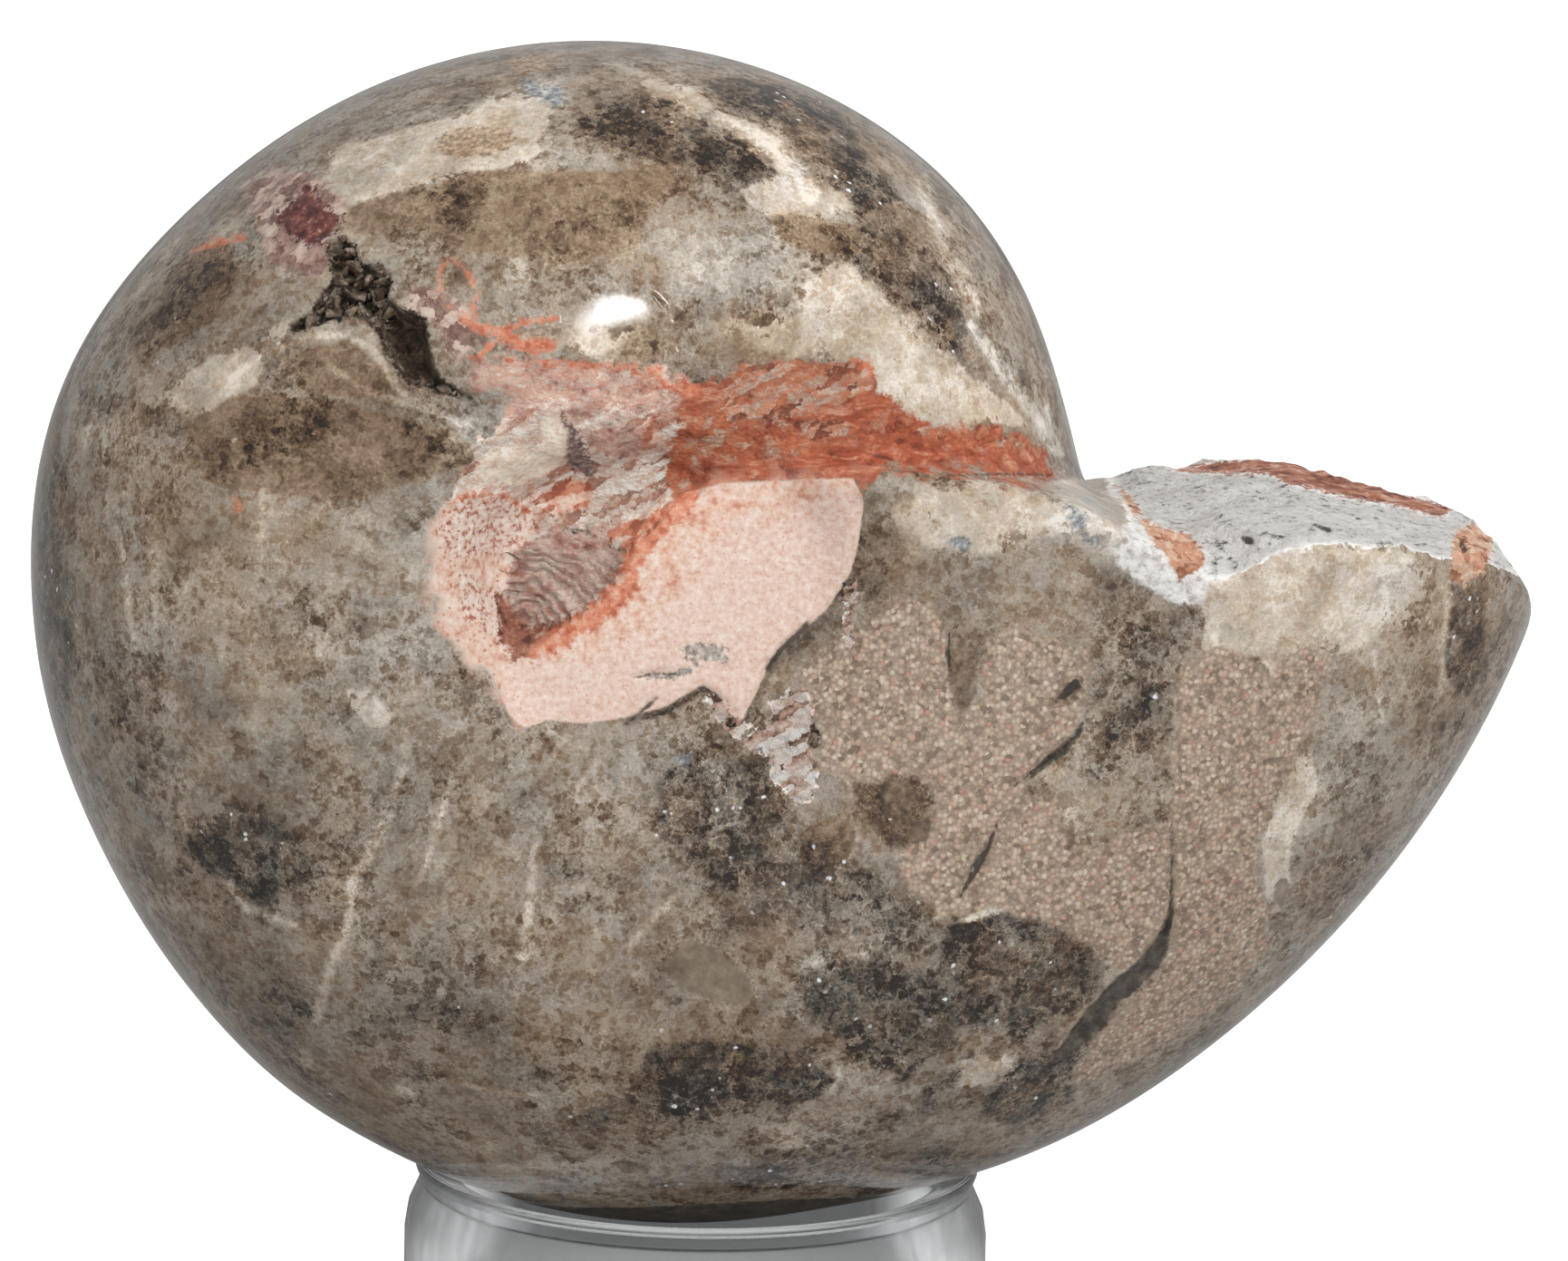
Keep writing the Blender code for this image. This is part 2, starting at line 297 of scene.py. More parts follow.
def grow(name, tree, values):
    # An object whose only modifier is this tree, with these named inputs
    obj = added(name, bpy.data.meshes.new(name))
    modifier = obj.modifiers.new(name, "NODES")
    modifier.node_group = tree
    sockets = {item.name: item for item in tree.interface.items_tree if item.in_out == "INPUT"}
    for key, value in values.items():
        modifier[sockets[key].identifier] = value
    return obj


def settle(obj):
    # The evaluated mesh, free of modifiers, on the same object
    bpy.context.view_layer.update()
    graph = bpy.context.evaluated_depsgraph_get()
    mesh = bpy.data.meshes.new_from_object(obj.evaluated_get(graph))
    obj.modifiers.clear()
    obj.data = mesh
    return obj


# The mouth: broken rough, tipped to the back, with the front lobe that laps the older whorl

mouth = {
    "profile": ((40, 5.6), (47, 7.2), (52, 7.8), (58, 7.9), (63, 6.7), (67, 5.7), (71, 5.2), (74, 3.8),
                (76.4, 1.8), (77.9, -1.2), (80, -6.0)),
    "lobe": ((20, 8.0), (30, 7.3), (38, 5.0), (43, 2.0), (47, 0.0)),
    "lobeFade": 12.0, "tilt": 0.056,
    "roughness": 0.8, "lumps": 9.0, "roughFrom": 44.0, "roughTo": 72.0, "roughBlend": 5.0,
    "chip": (50.0, -29.0), "chipSpread": 4.5, "chipDepth": 3.6,
    "reach": 70.0, "middle": 40.0, "top": 100.0, "cells": 140,
    "facesUp": (0.5, 0.8), "starts": (41.0, 44.0), "fades": (1.0, 2.5),
}


def mouthHeight(x, y):
    height = np.interp(x, *zip(*mouth["profile"]))
    height = height + np.interp(x, *zip(*mouth["lobe"])) * (
        1.0 - smoothstep(y, -mouth["lobeFade"], mouth["lobeFade"]))
    broken = smoothstep(x, mouth["roughFrom"], mouth["roughFrom"] + mouth["roughBlend"])
    broken = broken * (1.0 - smoothstep(x, mouth["roughTo"] - mouth["roughBlend"], mouth["roughTo"]))
    flat = np.stack((x * mm, y * mm, 0.0 * x), axis=1)
    rough = mouth["roughness"] * broken * lumpy(flat, mouth["lumps"] * mm)
    away = np.hypot(x - mouth["chip"][0], y - mouth["chip"][1]) / mouth["chipSpread"]
    return height - y * mouth["tilt"] + rough - mouth["chipDepth"] * np.exp(-away * away)


def linked(name, mesh, outwards=True):
    # A finished bmesh as an object of the scene
    if outwards:
        bmesh.ops.recalc_face_normals(mesh, faces=mesh.faces)
    data = bpy.data.meshes.new(name)
    mesh.to_mesh(data)
    mesh.free()
    return added(name, data)


def extruded(mesh, faces):
    raised = bmesh.ops.extrude_face_region(mesh, geom=faces)
    return [item for item in raised["geom"] if isinstance(item, bmesh.types.BMVert)]


def mouthCutter():
    mesh = bmesh.new()
    bmesh.ops.create_grid(mesh, x_segments=mouth["cells"], y_segments=mouth["cells"], size=mouth["reach"])
    places = np.array([vert.co for vert in mesh.verts])
    places[:, 0] += mouth["middle"]
    heights = mouthHeight(places[:, 0], places[:, 1])
    for vert, (x, _, _), height in zip(mesh.verts, places, heights):
        vert.co.x = x
        vert.co.z = height
    for vert in extruded(mesh, list(mesh.faces)):
        vert.co.z = mouth["top"]
    return linked("mouthCutter", mesh)


# What fills the umbilicus: the smooth lens of matrix, the lower floor round it, and a curled knot

matrix = {
    "lens": ((-10.5, 0.0), (-3.1, 2.8), (0.5, 9.0), (4.0, 12.3), (9.0, 14.0), (21.0, 14.0), (24.0, 6.0),
             (19.0, -5.0), (8.0, -10.0), (-8.0, -12.0), (-14.0, -7.0)),
    "lensHalf": 29.4, "floorRadius": 17.0, "floorHalf": 26.8, "floorCorners": 96, "lean": 0.16,
    "knot": (-5.6, -26.0, 5.6), "knotHalves": (5.0, 2.8, 4.6),
}


def leaningPrism(name, outline, half):
    # An outline in XZ carried through the stone to a leaning face on each side
    mesh = bmesh.new()
    front = [mesh.verts.new((x, 0.0, z)) for x, z in outline]
    back = extruded(mesh, [mesh.faces.new(front)])
    for side, ends in ((-1.0, front), (1.0, back)):
        for vert in ends:
            vert.co.y = side * (half - matrix["lean"] * (vert.co.z - coil["umbilicus"][2]))
    return linked(name, mesh)


def knot():
    mesh = bmesh.new()
    shape = Matrix.Translation(matrix["knot"]) @ Matrix.Diagonal((*matrix["knotHalves"], 1.0))
    bmesh.ops.create_icosphere(mesh, subdivisions=4, radius=1.0, matrix=shape)
    return linked("knot", mesh)


def joined(name, objects):
    mesh = bmesh.new()
    for obj in objects:
        mesh.from_mesh(obj.data)
        bpy.data.objects.remove(obj)
    return linked(name, mesh, outwards=False)   # the parts' faces point outwards already


stone = {
    "voxel": 1.0, "smoothTimes": 6, "smoothShare": 0.5, "polish": 0.11, "mouthRoughness": 0.85,
    "restingReach": 20.0, "restingBelow": -40.0,
}


def roughStone():
    tree = whorlTree()
    old, body = (grow(name, tree, {"First Angle": coil[name][0], "Last Angle": coil[name][1]})
                 for name in ("oldWhorl", "bodyWhorl"))
    cutter = mouthCutter()
    cut = body.modifiers.new("mouth", "BOOLEAN")
    cut.operation = "DIFFERENCE"
    cut.solver = "EXACT"
    cut.object = cutter
    settle(old)
    settle(body)
    bpy.data.objects.remove(cutter)
    x, _, z = coil["umbilicus"]
    floor = [(x + matrix["floorRadius"] * math.cos(turn), z + matrix["floorRadius"] * math.sin(turn))
             for turn in np.linspace(0.0, math.tau, matrix["floorCorners"], endpoint=False)]
    whole = joined("ammoniteStone", [
        old, body, leaningPrism("lens", matrix["lens"], matrix["lensHalf"]),
        leaningPrism("floor", floor, matrix["floorHalf"]), knot(),
    ])
    remesh = whole.modifiers.new("oneStone", "REMESH")
    remesh.mode = "VOXEL"
    remesh.voxel_size = stone["voxel"]
    polish = whole.modifiers.new("polish", "SMOOTH")
    polish.factor = stone["smoothShare"]
    polish.iterations = stone["smoothTimes"]
    return settle(whole)


fossil = roughStone()
print("stone shaped:", len(fossil.data.polygons), "faces")

# Where the stone's colours lie, in pixels of the photograph. A cloud is soft: x, y, half length,
# half width, turn in degrees (clockwise as seen), strength.

clouds = {
    # Darker patches of the calcite; along the left, right and lower edges they also paint shade there
    "dark": (
        (740, 150, 105, 40, 12, 1.0), (700, 125, 60, 30, 0, 0.8), (810, 175, 55, 28, 15, 0.9),
        (915, 165, 60, 48, 40, 0.9), (880, 120, 70, 22, 28, 0.6), (1000, 300, 85, 42, 50, 1.0),
        (960, 270, 40, 30, 0, 0.8), (1040, 370, 46, 30, 60, 0.6), (330, 470, 130, 40, -12, 0.55),
        (300, 500, 40, 30, 0, 0.4), (285, 940, 75, 50, 35, 0.85), (250, 980, 50, 36, 0, 0.5),
        (805, 890, 90, 80, 20, 1.0), (760, 860, 50, 36, 0, 0.7), (860, 965, 90, 60, 0, 0.95),
        (820, 1020, 50, 40, 0, 0.6), (1120, 1065, 105, 66, -12, 1.0), (1080, 1100, 60, 40, 0, 0.8),
        (990, 1110, 80, 56, 10, 0.85), (940, 1080, 60, 36, 0, 0.6), (800, 1190, 115, 48, -8, 1.0),
        (1250, 770, 60, 115, 8, 0.6), (960, 1030, 150, 80, 0, 0.42), (900, 1110, 200, 90, 0, 0.42),
        (700, 950, 80, 60, 0, 0.38), (1110, 1190, 160, 50, -20, 0.5), (560, 1200, 240, 50, 3, 0.3),
        (480, 520, 75, 36, 0, 0.45), (200, 350, 95, 45, -38, 0.6),
        (985, 890, 60, 48, 0, 0.75), (1035, 955, 45, 32, 0, 0.7), (300, 1120, 130, 44, 45, 0.5),
        (500, 1120, 140, 40, 6, 0.5), (640, 960, 60, 50, 0, 0.4), (900, 1290, 230, 36, -4, 0.6),
        (60, 700, 26, 230, 0, 0.6), (360, 770, 60, 45, 0, 0.4), (1620, 700, 20, 95, 8, 0.4),
        (1480, 960, 60, 120, 35, 0.5), (640, 250, 150, 30, 0, 0.3), (420, 90, 150, 20, -28, 0.4),
        (500, 850, 60, 40, 0, 0.3), (700, 1090, 70, 34, 0, 0.35), (630, 1240, 200, 34, 3, 0.5),
        (120, 430, 40, 60, 20, 0.4), (420, 440, 60, 28, 20, 0.5), (150, 840, 40, 110, -12, 0.4),
    ),
    "pale": (
        (455, 172, 130, 26, -17, 0.95), (560, 122, 70, 22, -18, 0.9), (395, 205, 50, 20, -10, 0.7),
        (590, 175, 40, 30, 60, 0.6), (470, 205, 90, 14, -6, 0.6), (430, 300, 40, 50, 40, 0.3),
        (845, 160, 75, 22, 22, 1.0), (885, 215, 58, 28, 10, 0.9), (975, 385, 140, 56, 42, 1.05),
        (850, 365, 80, 30, 5, 0.75), (655, 378, 60, 20, 0, 0.85), (235, 425, 60, 27, -25, 1.1),
        (300, 380, 60, 15, -42, 0.6), (1190, 900, 40, 46, 0, 0.6), (1245, 720, 24, 26, 0, 0.5),
        (1430, 870, 26, 60, 12, 0.85), (1410, 950, 20, 72, 10, 0.9), (560, 830, 60, 90, 60, 0.4),
        (1450, 655, 135, 74, 0, 1.05), (1340, 650, 40, 60, 0, 0.8), (1090, 570, 135, 45, 0, 0.95),
        (1115, 430, 60, 20, 55, 0.5), (620, 1010, 90, 110, 0, 0.4), (420, 600, 120, 90, 0, 0.2),
        (640, 1100, 150, 60, 0, 0.25), (480, 345, 45, 26, 40, 0.4), (1080, 1180, 42, 20, -20, 0.8),
        (1540, 800, 50, 90, 20, 0.4), (520, 650, 30, 120, 0, 0.3), (930, 640, 30, 60, 0, 0.3),
        (250, 600, 90, 100, 0, 0.15), (560, 900, 80, 60, 0, 0.3), (350, 1180, 60, 20, 30, 0.3),
    ),
    "warm": (
        (740, 150, 120, 50, 12, 0.7), (890, 150, 90, 45, 28, 0.7), (1000, 300, 85, 42, 50, 0.6),
        (640, 245, 175, 46, 5, 1.0), (526, 156, 46, 18, -5, 1.2), (430, 240, 90, 46, 0, 0.7),
        (900, 280, 100, 45, 40, 0.6), (330, 500, 120, 60, 0, 0.7), (240, 560, 120, 130, 0, 0.5),
        (780, 390, 120, 40, 0, 0.7), (1000, 890, 80, 50, 0, 0.9), (1090, 460, 90, 30, 30, 0.6),
        (1600, 700, 60, 80, 0, 0.7), (220, 1030, 90, 60, 45, 0.6), (420, 1240, 200, 50, 20, 0.5),
        (980, 610, 30, 60, 0, 1.0), (1060, 745, 20, 40, 0, 1.2), (1150, 350, 40, 90, -15, 0.5),
        (880, 950, 90, 60, 0, 0.4), (700, 1180, 200, 60, 0, 0.3), (330, 640, 80, 60, 0, 0.4),
    ),
    "umber": (
        (640, 240, 90, 30, 4, 0.5), (430, 240, 50, 20, 0, 0.5), (975, 905, 60, 40, 0, 0.4),
        (150, 380, 40, 70, 30, 0.4), (1630, 700, 30, 60, 0, 0.4),
    ),
    "mist": (
        (800, 285, 90, 48, 10, 1.0), (700, 320, 80, 50, 0, 0.4), (480, 600, 46, 140, 10, 0.6),
        (1190, 580, 36, 34, 0, 0.9), (1530, 640, 30, 45, 0, 0.7), (1240, 610, 60, 22, 38, 0.8),
        (450, 700, 50, 60, 0, 0.55), (250, 170, 110, 26, -42, 0.3), (600, 98, 34, 16, 30, 0.9),
        (530, 480, 80, 20, -28, 0.8), (760, 850, 50, 16, 0, 0.5), (560, 420, 60, 20, 0, 0.4),
        (1480, 800, 50, 50, 0, 0.4), (1540, 860, 60, 60, 0, 0.35), (150, 640, 30, 110, 0, 0.35),
    ),
}

# Clouds with a shape of their own, by their corners
patches = {
    "dark": (
        ((697, 106), (735, 106), (758, 132), (793, 147), (852, 164), (855, 191), (817, 191), (770, 179),
         (735, 182), (688, 176), (656, 155), (676, 138), (700, 126)),
        ((782, 85), (864, 94), (922, 120), (949, 147), (937, 185), (981, 191), (993, 220), (946, 243),
         (922, 208), (887, 160), (864, 134), (805, 118), (788, 104)),
        ((949, 261), (993, 249), (1022, 284), (1051, 319), (1069, 366), (1057, 384), (1022, 355),
         (993, 325), (958, 296)),
        ((731, 847), (779, 834), (803, 859), (840, 901), (852, 937), (846, 980), (809, 986), (785, 956),
         (791, 913), (755, 895), (725, 877)),
        ((924, 968), (955, 962), (988, 974), (979, 1001), (955, 998), (930, 986)),
        ((1040, 1022), (1100, 1010), (1161, 1022), (1197, 1052), (1203, 1095), (1161, 1119), (1124, 1155),
         (1100, 1119), (1088, 1083), (1046, 1065)),
        ((876, 1077), (931, 1065), (1003, 1071), (1052, 1095), (1064, 1155), (1027, 1167), (997, 1192),
         (943, 1167), (906, 1125), (870, 1107)),
        ((707, 1167), (761, 1149), (822, 1155), (882, 1167), (925, 1192), (900, 1216), (840, 1216),
         (797, 1228), (731, 1216)),
        ((220, 901), (272, 894), (329, 926), (336, 971), (278, 990), (227, 965), (201, 933)),
        ((1100, 1175), (1185, 1165), (1185, 1215), (1120, 1245), (1080, 1230)),
        ((1602, 645), (1632, 655), (1640, 700), (1628, 750), (1608, 775), (1594, 720)),
    ),
    "pale": (
        ((360, 161), (448, 144), (506, 126), (553, 109), (594, 106), (604, 132), (590, 173), (553, 188),
         (477, 202), (419, 220), (369, 221)),
        ((711, 85), (770, 94), (785, 120), (864, 144), (887, 167), (922, 214), (905, 232), (852, 240),
         (829, 226), (817, 208), (858, 196), (852, 161), (793, 144), (758, 126), (706, 100)),
        ((905, 302), (946, 296), (975, 331), (1004, 355), (1060, 400), (1110, 440), (1140, 470), (1090, 470),
         (1030, 460), (995, 445), (965, 415), (922, 384), (887, 366), (875, 325)),
        ((190, 440), (200, 415), (240, 388), (270, 382), (290, 400), (285, 425), (260, 440), (215, 455)),
        ((1332, 603), (1397, 601), (1504, 598), (1558, 614), (1548, 652), (1504, 706), (1472, 706),
         (1429, 717), (1402, 744), (1386, 727), (1348, 722), (1326, 722), (1326, 668)),
        ((1407, 870), (1430, 840), (1446, 880), (1430, 920), (1416, 980), (1402, 1000), (1396, 950)),
        ((1058, 1016), (1100, 992), (1161, 974), (1173, 1004), (1112, 1004), (1064, 1022)),
        ((1200, 1022), (1240, 1022), (1251, 1050), (1240, 1090), (1218, 1090), (1222, 1050)),
        ((1064, 1180), (1090, 1165), (1118, 1166), (1112, 1190), (1080, 1198)),
        ((380, 766), (406, 763), (435, 789), (428, 808), (406, 801), (387, 782)),
        ((1165, 530), (1215, 522), (1250, 560), (1240, 600), (1200, 580), (1170, 560)),
    ),
    "warm": (
        ((600, 362), (694, 362), (760, 372), (850, 340), (930, 380), (940, 398), (850, 400), (780, 412),
         (700, 396), (620, 384)),
    ),
    "umber": (
        ((386, 226), (477, 208), (553, 190), (641, 190), (735, 190), (770, 202), (723, 226), (706, 267),
         (676, 284), (594, 284), (506, 273), (460, 249), (395, 255)),
        ((200, 470), (260, 440), (330, 440), (420, 455), (500, 480), (530, 500), (470, 530), (400, 550),
         (300, 545), (230, 530)),
        ((313, 400), (340, 385), (386, 380), (420, 405), (440, 436), (400, 440), (340, 432)),
        ((852, 232), (900, 238), (946, 250), (950, 275), (900, 280), (860, 262)),
        ((943, 865), (967, 850), (1003, 853), (1027, 877), (1033, 901), (1003, 931), (979, 925), (955, 895)),
        ((888, 907), (924, 895), (943, 913), (937, 943), (906, 962), (882, 949)),
        ((200, 285), (250, 270), (262, 300), (240, 350), (190, 380), (160, 360)),
    ),
}

# Out of the picture's sight the same clouds come from noise: lump size in mm, from and to, seed
unseenClouds = {
    "dark": (13.0, 0.08, 0.5, 3.1), "pale": (15.0, 0.14, 0.5, 8.4), "umber": (12.0, 0.2, 0.6, 30.2),
    "warm": (11.0, 0.0, 0.5, 12.9), "mist": (12.0, 0.18, 0.6, 21.3),
}


def oval(x, y, long, wide, turn, corners=20):
    turn = math.radians(turn)
    made = []
    for step in range(corners):
        angle = math.tau * step / corners
        along, aside = long * math.cos(angle), wide * math.sin(angle)
        made.append((x + along * math.cos(turn) - aside * math.sin(turn),
                     y + along * math.sin(turn) + aside * math.cos(turn)))
    return tuple(made)


# Features with clean edges: areas by their corners, lines by points with a half width at each.
# Those with relief are carved as well.

features = {
    "sand": {"areas": (
        ((872, 748), (905, 716), (950, 690), (985, 662), (1030, 666), (1046, 712), (1060, 792), (1085, 770),
         (1090, 705), (1120, 690), (1170, 712), (1215, 720), (1196, 765), (1192, 798), (1150, 850),
         (1118, 878), (1165, 872), (1165, 905), (1200, 935), (1290, 905), (1292, 1000), (1240, 1080),
         (1190, 1030), (1100, 1000), (1040, 1010), (985, 965), (1010, 915), (1040, 880), (1000, 852),
         (950, 862), (905, 850), (900, 800)),
        ((1300, 745), (1340, 712), (1365, 722), (1400, 745), (1440, 712), (1470, 720), (1450, 800),
         (1425, 850), (1392, 900), (1385, 965), (1402, 1010), (1392, 1060), (1350, 1105), (1290, 1148),
         (1225, 1182), (1180, 1196), (1212, 1140), (1262, 1098), (1296, 1040), (1300, 960), (1292, 880),
         (1296, 800)),
    )},
    "brown": {"areas": (
        oval(1063, 745, 17, 42, 4), oval(1182, 764, 9, 14, 30), oval(1178, 918, 9, 20, -10),
        oval(528, 376, 11, 10, 0), oval(508, 303, 12, 15, 0),
        ((975, 862), (1000, 858), (1012, 880), (1000, 905), (982, 900), (972, 880)),
        ((1008, 905), (1030, 898), (1024, 925), (1004, 932)),
        ((930, 905), (944, 920), (936, 940), (922, 930)),
    )},
    "tan": {"areas": (
        ((737, 1060), (752, 1040), (765, 1034), (800, 1056), (828, 1082), (832, 1100), (820, 1110),
         (790, 1104), (755, 1092), (738, 1080)),
        oval(1415, 985, 10, 16, 0),
    )},
    "pebble": {"areas": (
        oval(525, 156, 46, 17, -6), oval(588, 372, 24, 8, 0), oval(584, 70, 26, 11, 0),
    )},
    "rose": {"areas": (
        ((272, 205), (300, 188), (340, 190), (372, 215), (378, 240), (368, 262), (366, 285), (350, 306),
         (322, 312), (300, 290), (292, 262), (275, 240)),
        ((448, 325), (470, 318), (495, 330), (520, 345), (528, 372), (520, 395), (505, 405), (496, 385),
         (480, 360), (455, 342)),
    ), "relief": True},
    "maroon": {"areas": (
        ((304, 232), (326, 222), (336, 204), (350, 210), (356, 226), (378, 240), (368, 256), (345, 272),
         (325, 262), (308, 246)),
    )},
    "mouthLip": {"areas": (
        ((1236, 580), (1260, 572), (1300, 610), (1330, 606), (1334, 640), (1328, 668), (1305, 664),
         (1278, 640), (1250, 612)),
        ((1214, 590), (1236, 600), (1262, 628), (1298, 652), (1326, 654), (1326, 664), (1300, 668),
         (1262, 646), (1232, 622)),
    )},
    "crest": {"areas": (
        ((1290, 519), (1350, 508), (1400, 505), (1450, 508), (1500, 530), (1550, 545), (1605, 560),
         (1592, 572), (1540, 558), (1480, 548), (1420, 533), (1395, 522), (1340, 523)),
    )},
    "wall": {"areas": (
        ((560, 400), (640, 396), (750, 415), (790, 440), (790, 500), (780, 545), (745, 562), (716, 592),
         (702, 616), (680, 606), (650, 588), (620, 586), (586, 595), (560, 600), (545, 560), (505, 560),
         (490, 560), (512, 510), (566, 460), (570, 425)),
    ), "relief": True},
    "mauve": {"areas": (
        ((516, 394), (600, 396), (669, 401), (745, 435), (745, 456), (700, 462), (669, 458), (640, 468),
         (627, 452), (600, 448), (585, 462), (566, 456), (562, 435), (523, 422)),
        ((655, 470), (700, 462), (735, 470), (740, 488), (700, 498), (668, 505), (650, 490)),
    )},
    "flakes": {"areas": (
        ((599, 562), (630, 528), (641, 522), (669, 526), (717, 502), (748, 489), (765, 510), (731, 539),
         (682, 561), (634, 574), (606, 578)),
        ((640, 505), (665, 500), (660, 520), (640, 522)),
    )},
    "rust": {"areas": (
        ((589, 543), (613, 534), (641, 527), (655, 541), (634, 563), (606, 572), (591, 561)),
        ((668, 590), (690, 572), (720, 560), (740, 548), (760, 545), (740, 565), (716, 592), (702, 612)),
        ((700, 470), (718, 462), (730, 480), (712, 490)),
    )},
    "cream": {"areas": (
        ((523, 518), (544, 496), (572, 492), (590, 500), (600, 486), (596, 463), (610, 456), (627, 477),
         (621, 512), (592, 529), (551, 536), (527, 532)),
    )},
    "blueGrey": {"areas": (
        ((571, 84), (590, 90), (602, 100), (592, 110), (575, 98)),
        ((600, 98), (618, 92), (622, 112), (608, 120), (598, 110)),
        oval(1190, 576, 10, 13, 10), oval(1206, 596, 12, 7, 30), oval(1060, 600, 13, 8, 0),
        oval(1178, 560, 7, 6, 0), oval(755, 838, 14, 6, 0),
    )},
    "hollow": {"areas": (
        ((430, 345), (446, 342), (468, 352), (474, 380), (482, 405), (484, 418), (470, 422), (450, 416),
         (438, 400), (428, 372)),
    )},
    "slate": {"areas": (
        ((620, 458), (632, 470), (650, 505), (660, 520), (645, 526), (628, 514), (622, 490)),
    )},
    "red": {"areas": (
        ((745, 555), (735, 505), (748, 470), (752, 440), (762, 428), (782, 414), (850, 402), (905, 398),
         (950, 392), (970, 428), (992, 450), (1030, 466), (1085, 474), (1130, 478), (1150, 496),
         (1163, 522), (1120, 536), (960, 534), (840, 538)),
    ), "relief": True},
    # A darker red; along the seam at the red band's foot it is partly painted shade of the recess there
    "deepRed": {"areas": (
        ((760, 500), (800, 498), (850, 506), (905, 498), (960, 478), (1010, 484), (1060, 492), (1110, 496),
         (1140, 494), (1163, 524), (1120, 536), (960, 534), (840, 532), (770, 534)),
        ((752, 440), (762, 428), (782, 414), (800, 420), (792, 440), (775, 450), (758, 462)),
        ((870, 456), (900, 450), (930, 440), (962, 425), (985, 450), (960, 470), (920, 488), (880, 490)),
    )},
    "chips": {"areas": (
        ((795, 446), (800, 418), (850, 405), (905, 401), (940, 396), (958, 425), (935, 442), (900, 450),
         (850, 468), (810, 462)),
        oval(911, 474, 27, 13, -4),
    ), "relief": True},
    "rim": {"areas": (
        ((470, 640), (476, 587), (496, 552), (531, 540), (562, 546), (590, 562), (580, 606), (566, 640),
         (566, 690), (600, 722), (600, 770), (575, 800), (556, 772), (509, 724), (488, 694)),
    ), "relief": True},
    "pink": {"areas": (
        ((755, 545), (794, 533), (897, 528), (942, 528), (953, 554), (947, 602), (938, 632), (912, 672),
         (875, 706), (851, 726), (834, 765), (818, 796), (806, 790), (790, 765), (775, 756), (734, 780),
         (694, 791), (642, 798), (605, 794), (579, 804), (561, 787), (552, 762), (556, 735), (600, 716),
         (650, 684), (690, 640), (715, 585)),
    ), "relief": True},
    "flush": {"areas": (
        ((690, 690), (650, 706), (620, 716), (600, 724), (640, 690), (680, 655), (700, 630), (722, 590),
         (760, 550), (800, 538), (870, 533), (940, 532), (900, 546), (830, 562), (775, 590), (745, 640)),
    )},
    "blushed": {"areas": (
        ((486, 588), (505, 558), (548, 545), (592, 556), (582, 590), (556, 606), (520, 612), (498, 620)),
        ((500, 640), (520, 632), (540, 655), (556, 690), (566, 715), (545, 705), (515, 672)),
    )},
    "grey": {"areas": (
        oval(778, 720, 32, 10, 4), ((714, 744), (770, 738), (748, 748), (716, 749)),
    )},
    "knot": {"areas": (
        ((566, 610), (586, 595), (620, 586), (650, 588), (679, 606), (692, 624), (680, 646), (650, 672),
         (620, 691), (583, 699), (562, 676), (560, 646)),
    ), "relief": True},
    "foot": {"areas": (
        ((548, 650), (562, 660), (575, 690), (605, 690), (640, 676), (632, 696), (600, 716), (588, 724),
         (566, 728), (552, 708)),
    ), "relief": True},
    "orange": {"lines": (
        ((590, 722, 7), (620, 702, 11), (652, 682, 12), (690, 646, 12), (702, 612, 13), (722, 582, 13),
         (762, 548, 9)),
        ((513, 350, 5), (530, 362, 5), (553, 368, 6), (575, 381, 6), (606, 382, 7)),
        ((553, 370, 4), (533, 390, 3)), ((553, 367, 3), (575, 356, 3), (612, 351, 2)),
        ((518, 355, 4), (526, 321, 2), (514, 298, 1), (495, 283, 0)),
        ((495, 283, 0), (484, 300, 1), (487, 325, 1), (500, 345, 2), (518, 355, 4)),
        ((520, 393, 0), (600, 400, 2), (690, 405, 2), (730, 424, 4), (762, 432, 9)),
        ((212, 278, 1), (235, 268, 4), (268, 262, 2)), ((700, 404, 2), (722, 414, 9), (738, 424, 4)),
        ((498, 556, 2), (520, 545, 3), (560, 548, 2), (585, 566, 2)),
    ), "relief": True},
    "bloom": {"areas": (
        ((1258, 572), (1280, 580), (1312, 590), (1326, 606), (1330, 622), (1318, 634), (1300, 640),
         (1290, 618), (1272, 600)),
        ((1606, 586), (1625, 578), (1646, 590), (1646, 612), (1636, 632), (1616, 645), (1602, 640),
         (1600, 615)),
        ((258, 548), (268, 561), (260, 566)), ((1232, 536), (1244, 545), (1262, 566), (1252, 570)),
    ), "relief": True},
    "crumble": {"areas": (
        ((852, 776), (868, 762), (890, 762), (896, 790), (903, 815), (893, 832), (902, 850), (897, 880),
         (880, 888), (864, 868), (850, 858), (852, 835), (820, 822), (830, 806), (850, 800)),
        ((775, 762), (795, 768), (806, 788), (826, 800), (818, 818), (796, 800)),
        ((936, 650), (944, 640), (946, 660), (938, 680), (942, 712), (935, 716), (930, 680)),
    ), "relief": True},
    "pocket": {"areas": (
        ((362, 272), (375, 262), (392, 272), (398, 292), (420, 292), (432, 308), (428, 330), (446, 342),
         (470, 352), (474, 380), (478, 400), (486, 418), (500, 428), (520, 440), (498, 437), (470, 430),
         (450, 424), (434, 402), (420, 380), (412, 362), (400, 352), (378, 350), (352, 358), (322, 368),
         (318, 358), (340, 346), (352, 328), (366, 310), (364, 290)),
        oval(899, 815, 7, 10, 0), oval(806, 796, 4, 6, 0),
    ), "relief": True},
    "paleLines": {"lines": (
        ((444, 850, 5), (419, 920, 7), (390, 970, 6), (382, 1024, 5), (365, 1066, 6), (349, 1124, 6)),
